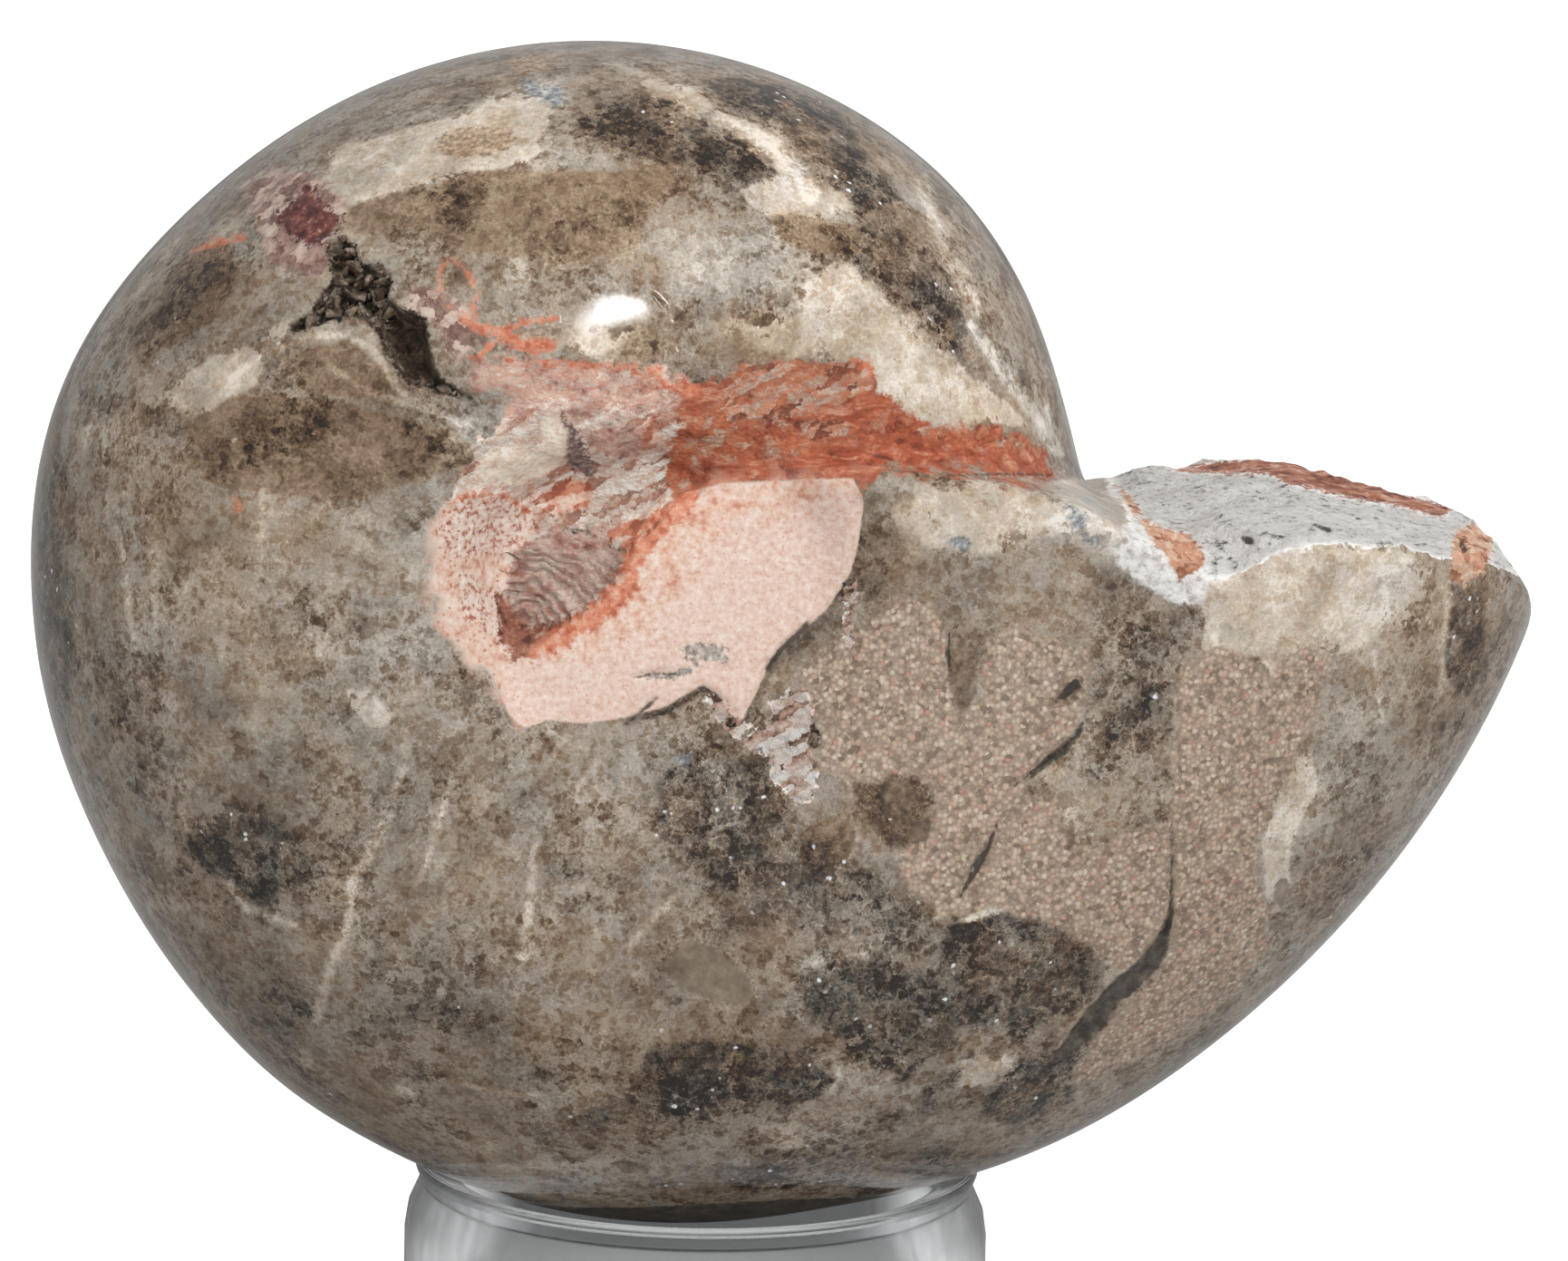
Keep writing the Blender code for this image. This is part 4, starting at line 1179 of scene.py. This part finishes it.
def over(below, share, layer):
    # A layer, or one plain colour, over what lies below it
    return share.mix(below, layer if isinstance(layer, Wire) else (*layer, 1.0), "RGBA")


def attribute(tree, name):
    return place(tree, "ShaderNodeAttribute", attribute_name=name)["Fac"]


def useGroup(tree, group, values):
    return place(tree, "ShaderNodeGroup", values, node_tree=group)


def newMaterial(name):
    # A material, its shader's inputs, and where each point is on its object
    material = bpy.data.materials.new(name)
    material.use_nodes = True
    spot = place(material.node_tree, "ShaderNodeTexCoord")["Object"]
    return material, material.node_tree.nodes["Principled BSDF"].inputs, spot


def inMm(spot):
    return spot.vector("SCALE", Scale=1.0 / mm)


def frayedEdgeGroup():
    # Inside an outline, with its edge torn by noise
    inputs = {"Distance": 0.0, "Torn": 0.0, "Fray": 5.0, "Soft": 2.0, "Tear": 2.4}
    tree, given = newTree("frayedEdge", "ShaderNodeTree", inputs, {"Inside": 0.0})
    distance = given["Distance"] + given["Torn"] * given["Fray"] * given["Tear"]
    return closeTree(tree, {"Inside": distance.between(given["Soft"], given["Soft"] * -1.0)})


nowhere = (0.0, 0.0, 0.0)
placeAndShift = {"Place": nowhere, "Shift": nowhere}


def shakeGroup():
    # A small uneven shift, which takes the regularity out of cells
    tree, given = newTree("shake", "ShaderNodeTree", {"Place": nowhere, "Size": 0.8}, {"Shift": nowhere})
    uneven = noiseIn(given["Place"], given["Size"] ** -1.0, 3.0, 0.65, "Color")
    return closeTree(tree, {"Shift": uneven.vector("SUBTRACT", (0.5, 0.5, 0.5))})


def shifted(given, share):
    return given["Place"].vector("ADD", given["Shift"].vector("SCALE", Scale=share))


def cellsOf(spot, often):
    # How far each point is from its cell's middle, and each cell's own number
    made = place(spot.tree, "ShaderNodeTexVoronoi", {"Vector": spot, "Scale": often})
    return made["Distance"], place(spot.tree, "ShaderNodeSeparateColor", {"Color": made["Color"]})["Red"]


# Noises by size in mm and detail; broken matter by how far its cells are shaken, how often they come,
# and how much of the fine noise, of the cell's own tone and of its edge it shows
mottling = {
    "noises": {"Fine": (0.5, 4.0), "Medium": (1.0, 5.0), "Coarse": (2.0, 6.0)},
    "roughness": 0.66, "twist": 0.6, "fineTear": 0.6,
    "broken": {"Chips": (1.6, 0.95, 0.3, 0.7, 0.15), "Flakes": (1.1, 0.9, 0.25, 0.85, 0.35)},
    "kinds": ("Fine", "Medium", "Coarse", "Streaks", "Chips", "Flakes", "Fine Tear", "Wide Tear"),
}


def mottlesGroup():
    # Uneven matter of several kinds, each mostly between 0 and 1, and two sizes of tear about 0
    inputs = {**placeAndShift, "Contrast": 2.6, "Stretch": (0.4, 1.0, 1.2), "Flake Lean": (0.0, 0.5, 0.0),
              "Flake Stretch": (0.42, 1.0, 1.5)}
    tree, given = newTree("stoneMottles", "ShaderNodeTree", inputs, dict.fromkeys(mottling["kinds"], 0.0))
    spread = {kind: noiseIn(given["Place"], 1.0 / size, detail, mottling["roughness"])
              for kind, (size, detail) in mottling["noises"].items()}
    size, detail = mottling["noises"]["Medium"]
    stretched = given["Place"].vector("MULTIPLY", given["Stretch"])
    spread["Streaks"] = noiseIn(stretched, 1.0 / size, detail, mottling["roughness"],
                                Distortion=mottling["twist"])
    values = {kind: (wire - 0.5) * given["Contrast"] + 0.5 for kind, wire in spread.items()}
    for kind, (shaken, often, fine, tone, edge) in mottling["broken"].items():
        spot = shifted(given, shaken)
        if kind == "Flakes":
            spot = place(tree, "ShaderNodeVectorRotate", {
                "Vector": spot, "Rotation": given["Flake Lean"]}, rotation_type="EULER_XYZ")[0]
            spot = spot.vector("MULTIPLY", given["Flake Stretch"])
        distance, shard = cellsOf(spot, often)
        values[kind] = values["Fine"] * fine + shard * tone - distance * edge
    values["Fine Tear"] = (spread["Fine"] - 0.5 + spread["Medium"] - 0.5) * mottling["fineTear"]
    values["Wide Tear"] = spread["Coarse"] - 0.5
    return closeTree(tree, values)


# Edges within a cell, in shares of its size, and how many of the calcite's ridges and grits come in one
cells = {
    "speck": (0.42, 0.22), "speckHeld": (0.0, 0.03), "seam": (0.44, 0.62), "gap": (0.32, 0.65),
    "grain": (-0.1, 0.42), "grainTones": 0.95, "grainLevel": 0.05, "wisp": (0.07, 0.0),
    "ridges": 0.75, "grits": 2.9,
}


def cellGroup(name, size, shake, outputs, **more):
    # A group on shaken cells: what it is given, and where each point is in its cell
    inputs = {**placeAndShift, "Size": size, "Shake": shake, **more}
    tree, given = newTree(name, "ShaderNodeTree", inputs, dict.fromkeys(outputs, 0.0))
    often = given["Size"] ** -1.0
    spot = shifted(given, given["Size"] * given["Shake"])
    distance, chance = cellsOf(spot, often)
    return tree, {**given, "Often": often, "Spot": spot, "Distance": distance, "Chance": chance}


def specksGroup():
    # Scattered ragged dots: a share of the cells holds one each
    tree, at = cellGroup("specks", 0.5, 1.0, ("Mask",), Share=0.2)
    held = (at["Chance"] + at["Share"] - 1.0).between(*cells["speckHeld"])
    return closeTree(tree, {"Mask": held * at["Distance"].between(*cells["speck"])})


def calciteGrainGroup():
    # Calcite seen close to: translucent dark grains of all sizes between wisps of pale
    tree, at = cellGroup("calciteGrain", 0.8, 2.4, ("Grain", "Wisp", "Grit"))
    grain = at["Chance"] * cells["grainTones"] - at["Distance"] - cells["grainLevel"]
    ridges = noiseIn(at["Spot"], at["Often"] * cells["ridges"], 3.0, 0.6) - 0.5
    grit = noiseIn(at["Place"], at["Often"] * cells["grits"], 2.0, 0.6) - 0.5
    return closeTree(tree, {"Grain": grain.between(*cells["grain"]), "Grit": grit,
                            "Wisp": ridges.math("ABSOLUTE").between(*cells["wisp"])})


def crystalNetGroup():
    # Big clear crystals with pale seams between them
    tree, at = cellGroup("crystalNet", 2.4, 0.9, ("Seam", "Crystal"))
    return closeTree(tree, {"Seam": at["Distance"].between(*cells["seam"]), "Crystal": at["Chance"] - 0.5})


def sandGroup():
    # Rounded grains packed close, each of its own colour
    tree, at = cellGroup("sandGrains", 0.5, 1.0, ("Chance", "Gap"))
    return closeTree(tree, {"Chance": at["Chance"], "Gap": at["Distance"].between(*cells["gap"])})


def growthBandsGroup():
    # Streaks that run outwards from the coil's axis, as the shell grew
    inputs = {"Place": nowhere, "Axis": nowhere, "Reach": 42.0, "Size": 2.6, "Outwards": 0.22}
    tree, given = newTree("growthBands", "ShaderNodeTree", inputs, {"Band": 0.0})
    away = given["Place"].vector("SUBTRACT", given["Axis"])
    flat = away.vector("MULTIPLY", (1.0, 0.0, 1.0))
    thick = away.vector("MULTIPLY", (0.0, 1.0, 0.0))
    around = flat.vector("NORMALIZE").vector("SCALE", Scale=given["Reach"])
    band = noiseIn(around.vector("ADD", thick), given["Size"] ** -1.0, 4.0, 0.6, dimensions="4D",
                   W=flat.length() * given["Outwards"])
    return closeTree(tree, {"Band": band - 0.5})


frayedEdge = frayedEdgeGroup()
shake = shakeGroup()
stoneMottles = mottlesGroup()
specks = specksGroup()
calciteGrain = calciteGrainGroup()
crystalNet = crystalNetGroup()
sandGrains = sandGroup()
growthBands = growthBandsGroup()

# The calcite. Its tone is 0 where dark and 1 where pale, its hue 0 where cool and 1 where warm.
calcite = {
    "coarse": 1.7, "fine": 0.72, "crystals": 2.5,   # sizes in mm
    "noises": {"broad": (13.0, 3.0), "patchy": (4.2, 6.0, 0.72), "tint": (5.0, 4.0), "lively": (7.0, 2.0)},
    "liveliness": ((-0.14, 0.14), 0.65, 0.6), "calmWherePale": -0.6,
    # What tears each cloud's edge, from and to, and what it takes to be more than a trace
    "clouds": {
        "dark": ({"patchy": 1.7, "bands": 0.5}, (0.22, 0.82), (0.0, 0.25)),
        "pale": ({"patchy": -1.6, "coarse": -0.25}, (0.36, 0.66), (0.0, 0.25)),
        "mist": ({"patchy": -1.3}, (0.1, 0.9), (0.0, 0.2)),
        "umber": ({"patchy": 1.2}, (0.25, 0.6), (0.0, 0.25)),
    },
    # What is stronger in the dark patches: how much more, and how much everywhere
    "inDark": {"coarse": (0.10, 0.17), "fine": (0.08, 0.20), "wisp": (0.12, 0.07), "net": (0.8, 0.2)},
    "grit": 0.45, "seam": 0.20, "seamPatches": 0.55, "crystal": 0.17,
    "baseTone": 0.575,
    "tone": {"broad": 0.36, "dark": -0.41, "pale": 0.225, "mist": 0.15, "umber": -0.10, "patchy": 0.62,
             "bands": 0.40, "paleLines": 0.22, "paleVein": 0.26, "shade": -0.17},
    "baseHue": 0.28,
    "hue": {"tint": 2.0, "fine": 0.5, "coarse": 0.3, "warm": 0.5, "umber": 0.7, "mist": -0.7, "dark": -0.10,
            "paleVein": -0.8, "darkCrystals": 0.5},
    "lines": {"paleLines": {"fray": 5.0, "soft": 4.0}, "paleVein": {"fray": 5.0, "soft": 4.0},
              "shade": {"fray": 4.0, "soft": 5.0}},
}

sand = {
    "size": 0.42, "fray": 14.0, "tear": "Wide Tear", "soft": 5.0, "cover": 0.92,
    "gap": 0.45, "gapColour": (0.12, 0.09, 0.07),
    "colours": ((0.0, (0.20, 0.14, 0.10)), (0.2, (0.335, 0.25, 0.182)), (0.4, (0.43, 0.32, 0.235)),
                (0.6, (0.50, 0.365, 0.275)), (0.8, (0.54, 0.425, 0.32)), (0.93, (0.62, 0.52, 0.41)),
                (0.975, (0.47, 0.26, 0.19))),
}

# The broken face of the mouth: bluish white with black flecks
brokenFace = {
    "edge": (0.3, 0.5), "chips": 0.5, "mottles": 0.5,
    "stops": ((0.05, (0.10, 0.10, 0.105)), (0.19, (0.44, 0.43, 0.41)), (0.31, (0.80, 0.775, 0.74)),
              (0.6, (0.89, 0.865, 0.83)), (1.0, (0.94, 0.925, 0.90))),
    "pitSize": 0.42, "pitsFrom": 0.3, "pitsOver": 0.6, "pits": 0.3, "pitCover": 0.6,
    "pit": (0.22, 0.22, 0.225),
}

# How the finishes' veins and specks show, and from what fray their edges tear widely. Over them all lie
# black cracks, and painted glints: white specks for crystal faces that catch the light, more of them in the
# dark patches.
details = {
    "veins": (0.16, 0.02), "speckCover": 0.75, "wideFray": 20,
    "crack": {"fray": 2.0, "soft": 1.5, "cover": 0.9, "colour": (0.035, 0.028, 0.022)},
    "paintedGlint": {"size": 0.62, "inDark": 0.04, "share": 0.007, "cover": 0.85, "colour": (0.85, 0.87, 0.88)},
    "grainRoughness": 0.02, "bump": 0.0013, "bumpNoise": (0.8, 5.0, 0.7),
}


def weighed(start, weights, parts):
    # The start and every part times its weight
    for name, weight in weights.items():
        start = parts[name] * weight + start
    return start


def stoneMaterial():
    material, surface, spot = newMaterial("polishedAmmonite")
    tree, spot = material.node_tree, inMm(spot)

    def noiseAt(size, detail, roughness=0.5):
        return noiseIn(spot, 1.0 / size, detail, roughness) - 0.5

    at = {"Place": spot, "Shift": useGroup(tree, shake, {"Place": spot})["Shift"]}
    mottles = useGroup(tree, stoneMottles, at)

    def inside(name, finish):
        tear = finish.get("tear", "Wide Tear" if finish["fray"] >= details["wideFray"] else "Fine Tear")
        return useGroup(tree, frayedEdge, {
            "Distance": attribute(tree, name), "Torn": mottles[tear], "Fray": finish["fray"],
            "Soft": finish["soft"]})["Inside"]

    def speckled(size, share):
        return useGroup(tree, specks, {**at, "Size": size, "Share": share})["Mask"]

    # Calcite: clouds and lines shift one tone, which is then read as a cool or a warm colour
    coarse = useGroup(tree, calciteGrain, {**at, "Size": calcite["coarse"]})
    fine = useGroup(tree, calciteGrain, {**at, "Size": calcite["fine"]})
    net = useGroup(tree, crystalNet, {**at, "Size": calcite["crystals"]})
    parts = {name: noiseAt(*sizes) for name, sizes in calcite["noises"].items()}
    parts.update(coarse=coarse["Grain"], fine=fine["Grain"], warm=attribute(tree, "warm"), bands=useGroup(
        tree, growthBands, {"Place": spot, "Axis": tuple(coilOrigin / mm)})["Band"])
    for name, (torn, edge, trace) in calcite["clouds"].items():
        field = attribute(tree, name)
        parts[name] = weighed(field, torn, parts).between(*edge) * field.between(*trace)
    for name, edge in calcite["lines"].items():
        parts[name] = inside(name, edge)
    parts["darkCrystals"] = net["Crystal"] * parts["dark"]
    strength = {name: parts["dark"] * more + always for name, (more, always) in calcite["inDark"].items()}

    uneven, swing, least = calcite["liveliness"]
    lively = parts["lively"].between(*uneven) * swing + least
    lively = lively * (parts["pale"] * calcite["calmWherePale"] + 1.0)
    grains = coarse["Grain"] * strength["coarse"] + fine["Grain"] * strength["fine"]
    grains = grains - fine["Grit"] * calcite["grit"]
    seams = net["Seam"] * calcite["seam"] * (parts["patchy"] + calcite["seamPatches"])
    tone = weighed(calcite["baseTone"], calcite["tone"], parts) - grains * lively
    tone = tone + (coarse["Wisp"] + fine["Wisp"]) * strength["wisp"]
    tone = tone + (seams + net["Crystal"] * calcite["crystal"]) * strength["net"]
    hue = weighed(calcite["baseHue"], calcite["hue"], parts).math("ADD", 0.0, clamp=True)
    colour = hue.mix(ramp(tone, calciteTones["cool"]), ramp(tone, calciteTones["warm"]), "RGBA")

    # Sand
    sandy = useGroup(tree, sandGrains, {**at, "Size": sand["size"]})
    grainColour = over(ramp(sandy["Chance"], sand["colours"]), sandy["Gap"] * sand["gap"], sand["gapColour"])
    colour = over(colour, inside("sand", sand) * sand["cover"], grainColour)

    # The broken face of the mouth
    flecked = mottles["Chips"] * brokenFace["chips"] + mottles["Medium"] * brokenFace["mottles"]
    pitted = (mottles["Coarse"] - brokenFace["pitsFrom"]).between(0.0, brokenFace["pitsOver"])
    pits = speckled(brokenFace["pitSize"], pitted * brokenFace["pits"])
    face = over(ramp(flecked, brokenFace["stops"]), pits * brokenFace["pitCover"], brokenFace["pit"])
    broken = (attribute(tree, "mouth") + mottles["Fine Tear"]).between(*brokenFace["edge"])
    colour = over(colour, broken, face)

    # The finishes, each over those before it
    veins = (mottles["Streaks"] - 0.5).math("ABSOLUTE").between(*details["veins"])
    for name, finish in finishes.items():
        layer = ramp(mottles[finish["pattern"]], finish["stops"])
        if "veins" in finish:
            amount, veinColour = finish["veins"]
            layer = over(layer, veins * amount, veinColour)
        if "specks" in finish:
            size, share, speckColour = finish["specks"]
            layer = over(layer, speckled(size, share) * details["speckCover"], speckColour)
        colour = over(colour, inside(name, finish) * finish["cover"], layer)

    crack, paintedGlint = details["crack"], details["paintedGlint"]
    colour = over(colour, inside("crack", crack) * crack["cover"], crack["colour"])
    # Painted glints: white specks where crystal faces would catch the light
    paintedGlints = speckled(paintedGlint["size"], parts["dark"] * paintedGlint["inDark"] + paintedGlint["share"])
    plug(surface["Base Color"], over(colour, paintedGlints * paintedGlint["cover"], paintedGlint["colour"]))
    plug(surface["Roughness"], attribute(tree, "roughness") + fine["Grain"] * details["grainRoughness"])
    plug(surface["Normal"], place(tree, "ShaderNodeBump", {
        "Strength": attribute(tree, "raised"), "Distance": details["bump"],
        "Height": noiseAt(*details["bumpNoise"])})["Normal"])
    return material


# Calcite crystals that line the pocket, each grown out from its wall

druse = {
    "density": 1.5, "smallest": 0.35, "largest": 1.15, "lean": 0.75, "slimness": 1.25, "within": 1.5,
    "seed": 7, "sides": 6, "foot": 0.5, "tip": 0.14, "roughness": 0.09, "cloudiness": (0.8, 4.0, 0.7),
    "stops": ((0.25, (0.022, 0.016, 0.011)), (0.45, (0.075, 0.053, 0.036)), (0.58, (0.22, 0.165, 0.12)),
              (0.75, (0.66, 0.60, 0.52))),
}


def druseTree():
    inputs = {
        "Rock": "Object", "Density": druse["density"], "Within": druse["within"],
        "Smallest": druse["smallest"], "Largest": druse["largest"], "Lean": druse["lean"],
        "Slimness": druse["slimness"], "Seed": druse["seed"], "Crystal": "Material",
    }
    tree, given = newTree("druse", "GeometryNodeTree", inputs, {"Mesh": "Geometry"})
    rock = place(tree, "GeometryNodeObjectInfo", {"Object": given["Rock"]})["Geometry"]
    pocket, hollow = (place(
        tree, "GeometryNodeInputNamedAttribute", {"Name": name}, data_type="FLOAT",
    )["Attribute"] for name in ("pocket", "hollow"))
    lined = pocket.math("MAXIMUM", hollow * -1.0).math("LESS_THAN", given["Within"] * -1.0)
    rooted = place(tree, "GeometryNodeDistributePointsOnFaces", {
        "Mesh": rock, "Selection": lined, "Density": given["Density"], "Seed": given["Seed"]})
    crystal = place(tree, "GeometryNodeMeshCone", {
        "Vertices": druse["sides"], "Radius Top": druse["tip"], "Radius Bottom": druse["foot"],
        "Depth": given["Slimness"]})["Mesh"]
    leant = place(tree, "FunctionNodeRandomValue", {
        0: given["Lean"] * -1.0, 1: given["Lean"], "Seed": given["Seed"] + 1.0}, data_type="FLOAT_VECTOR")[0]
    leant = place(tree, "FunctionNodeEulerToRotation", {0: leant})[0]
    turned = place(tree, "FunctionNodeRotateRotation", {
        "Rotation": rooted["Rotation"], "Rotate By": leant}, rotation_space="LOCAL")[0]
    chance = place(tree, "FunctionNodeRandomValue", {"Seed": given["Seed"] + 2.0}, data_type="FLOAT")[1]
    size = given["Smallest"] + (given["Largest"] - given["Smallest"]) * chance * chance
    grown = place(tree, "GeometryNodeInstanceOnPoints", {
        "Points": rooted["Points"], "Instance": crystal, "Rotation": turned, "Scale": size})["Instances"]
    return closeMesh(tree, grown, given["Crystal"])


def crystalMaterial():
    material, surface, spot = newMaterial("smokyCalcite")
    plug(surface["Base Color"], ramp(noiseIn(inMm(spot), *druse["cloudiness"]), druse["stops"]))
    plug(surface["Roughness"], druse["roughness"])
    return material


crystals = settle(grow("pocketCrystals", druseTree(), {"Rock": fossil, "Crystal": crystalMaterial()}))
crystals.data.transform(seat)
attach(crystals, "root")
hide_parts("fossil")
print("pocket lined:", len(crystals.data.polygons), "crystal faces")

fossil.data.transform(seat)
fossil.data.shade_smooth()
fossil.data.materials.clear()
fossil.data.materials.append(stoneMaterial())
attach(fossil, "root")
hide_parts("fossil")
print("stone finished")

# The clear ring that the stone sits in: a short tube with a flange round its top, in mm from its foot

ring = {
    "profile": ((24.1, 14.0), (24.6, 13.5), (24.0, 12.0), (25.1, 9.5), (25.4, 7.5), (25.4, 1.0), (24.4, 0.0),
                (21.8, 0.0), (21.2, 0.6), (21.2, 12.9)),
    "height": 14.0, "turns": 160, "bevel": 0.25, "bevelAngle": math.radians(20),
    "ior": 1.49, "tint": (0.93, 0.95, 0.96, 1.0), "roughness": 0.12,
    "scuffs": (0.8, 4.0), "scuffStretch": (1.0, 1.0, 0.2), "scuffsFrom": (0.35, 0.75), "scuffRoughness": 0.15,
}


def clearMaterial():
    material, surface, spot = newMaterial("clearAcrylic")
    plug(surface["Base Color"], ring["tint"])
    plug(surface["Transmission Weight"], 1.0)
    plug(surface["IOR"], ring["ior"])
    scuffs = noiseIn(inMm(spot).vector("MULTIPLY", ring["scuffStretch"]), *ring["scuffs"])
    scuffed = scuffs.between(*ring["scuffsFrom"]) * ring["scuffRoughness"]
    plug(surface["Roughness"], scuffed + ring["roughness"])
    return material


def addRing():
    mesh = bmesh.new()
    scale = (ringHigh.z - ringLow.z) / ring["height"]
    loops = []
    for step in range(ring["turns"]):
        turn = math.tau * step / ring["turns"]
        loops.append([mesh.verts.new((
            ringMiddle.x + x * mm * math.cos(turn), ringMiddle.y + x * mm * math.sin(turn),
            ringLow.z + z * scale)) for x, z in ring["profile"]])
    for one, two in zip(loops, loops[1:] + loops[:1]):
        for step, corner in enumerate(one):
            mesh.faces.new((corner, two[step], two[step + 1 - len(two)], one[step + 1 - len(one)]))
    obj = linked("clearRing", mesh)
    soft = obj.modifiers.new("softEdges", "BEVEL")
    soft.width = ring["bevel"] * mm
    soft.segments = 2
    soft.limit_method = "ANGLE"
    soft.angle_limit = ring["bevelAngle"]
    settle(obj)
    obj.data.shade_smooth()
    obj.data.materials.append(clearMaterial())
    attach(obj, "root")
    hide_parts("ring")


addRing()
print("ring made")

# Studio: a floor that shows white, soft light from above and the front, and one small lamp whose
# reflection falls where the stone shines

studio = {
    "floorSize": 3.0, "floorColour": 0.42, "floorRoughness": 0.9, "worldStrength": 0.36,
    "throughRing": 0.56, "behindStone": (0.018, 0.026), "behindShadowColour": 0.19,
    "beforeRing": (0.008, -0.012), "shadeReach": (0.018, 0.028), "shadedColour": 0.24,
    "glint": (680.0, 340.0), "glintReach": 0.16, "glintSize": (0.009, 0.040), "glintPower": 0.0004,
    "glintSpread": 14.0, "glintSpan": (-16.0, -8.0, 0.0, 8.0, 16.0),
    "softBoxes": (
        # place in m from the coil's middle, size in m, watts
        ((-0.1, -0.75, 1.15), (0.9, 0.9), 8.0), ((0.95, -0.75, 0.6), (0.8, 0.8), 6.2),
        ((0.1, -1.35, 0.3), (0.8, 0.8), 5.5), ((0.75, 0.45, 0.95), (0.8, 0.8), 6.4),
    ),
    "white": (1.0, 1.0, 1.0, 1.0),
}


def floorMaterial():
    material, surface, spot = newMaterial("paleFloor")
    tree = material.node_tree
    # Seen through the ring it is dimmer, and dimmer still in a painted shadow of the stone where the
    # picture's lines of sight end behind the stone, in a wedge that starts a little before the ring's middle.
    # Round the ring's foot painted shade darkens it, as the stone shades it.
    sight = place(tree, "ShaderNodeSeparateXYZ", {0: spot.vector("SUBTRACT", eye)})
    reach = ringMiddle.y - eye.y
    aside = sight["X"] / sight["Y"] * reach + (eye.x - ringMiddle.x)
    before = (sight["Y"] - reach).between(*studio["beforeRing"])
    lit = aside.math("ABSOLUTE").between(*studio["behindStone"]).math("MAXIMUM", before)
    away = spot.vector("SUBTRACT", ringMiddle).length()
    grey = away.between(*studio["shadeReach"]).mix(
        studio["shadedColour"], lit.mix(studio["behindShadowColour"], studio["floorColour"]))
    ray = place(tree, "ShaderNodeLightPath")
    plug(surface["Base Color"], place(tree, "ShaderNodeCombineColor", {
        "Red": grey, "Green": grey, "Blue": grey})[0])
    plug(surface["Roughness"], studio["floorRoughness"])
    plug(surface["Emission Color"], studio["white"])
    plug(surface["Emission Strength"],
         ray["Is Camera Ray"] + ray["Is Transmission Ray"] * lit * studio["throughRing"])
    return material


def addFloor():
    mesh = bmesh.new()
    bmesh.ops.create_grid(mesh, x_segments=1, y_segments=1, size=studio["floorSize"])
    floor = linked("studioFloor", mesh)
    floor.data.materials.append(floorMaterial())


def addLamp(name, at, towards, size, watts):
    data = bpy.data.lights.new(name, "AREA")
    data.shape = "RECTANGLE"
    data.size, data.size_y = size
    data.energy = watts
    lamp = added(name, data)
    turned = (Vector(at) - Vector(towards)).to_track_quat("Z", "Y").to_matrix().to_4x4()
    lamp.matrix_world = Matrix.Translation(at) @ turned
    lamp.visible_transmission = False
    return lamp


def glintPlace():
    # The point on the stone at the glint's pixel, and the way that the stone round it reflects
    bpy.context.view_layer.update()
    slope = Vector()
    for aside in studio["glintSpan"]:
        for above in studio["glintSpan"]:
            x = studio["glint"][0] + aside - photo["axis"][0]
            y = studio["glint"][1] + above - photo["axis"][1]
            target = seat @ ((photoRight * x - photoUp * y) * photo["mmPerPixel"])
            way = (target - eye).normalized()
            _, point, normal, _ = fossil.ray_cast(eye, way)
            slope += normal
            if aside == above == 0.0:
                middle, sight = point, way
    slope.normalize()
    return middle, sight - 2.0 * sight.dot(slope) * slope


def lightStudio():
    point, way = glintPlace()
    glint = addLamp("glintLamp", point + way * studio["glintReach"], point, studio["glintSize"],
                    studio["glintPower"])
    glint.data.spread = math.radians(studio["glintSpread"])
    glint.visible_camera = False
    for number, (at, size, watts) in enumerate(studio["softBoxes"]):
        box = addLamp(f"softBox{number}", coilOrigin + Vector(at), coilOrigin, size, watts)
        box.visible_glossy = False   # the stone mirrors only the glint lamp and the pale room
    world = bpy.data.worlds.new("studio")
    world.use_nodes = True
    background = world.node_tree.nodes["Background"].inputs
    plug(background["Color"], studio["white"])
    plug(background["Strength"], studio["worldStrength"])
    bpy.context.scene.world = world
    bpy.context.scene.view_settings.view_transform = "Standard"


addFloor()
lightStudio()
print("studio lit")
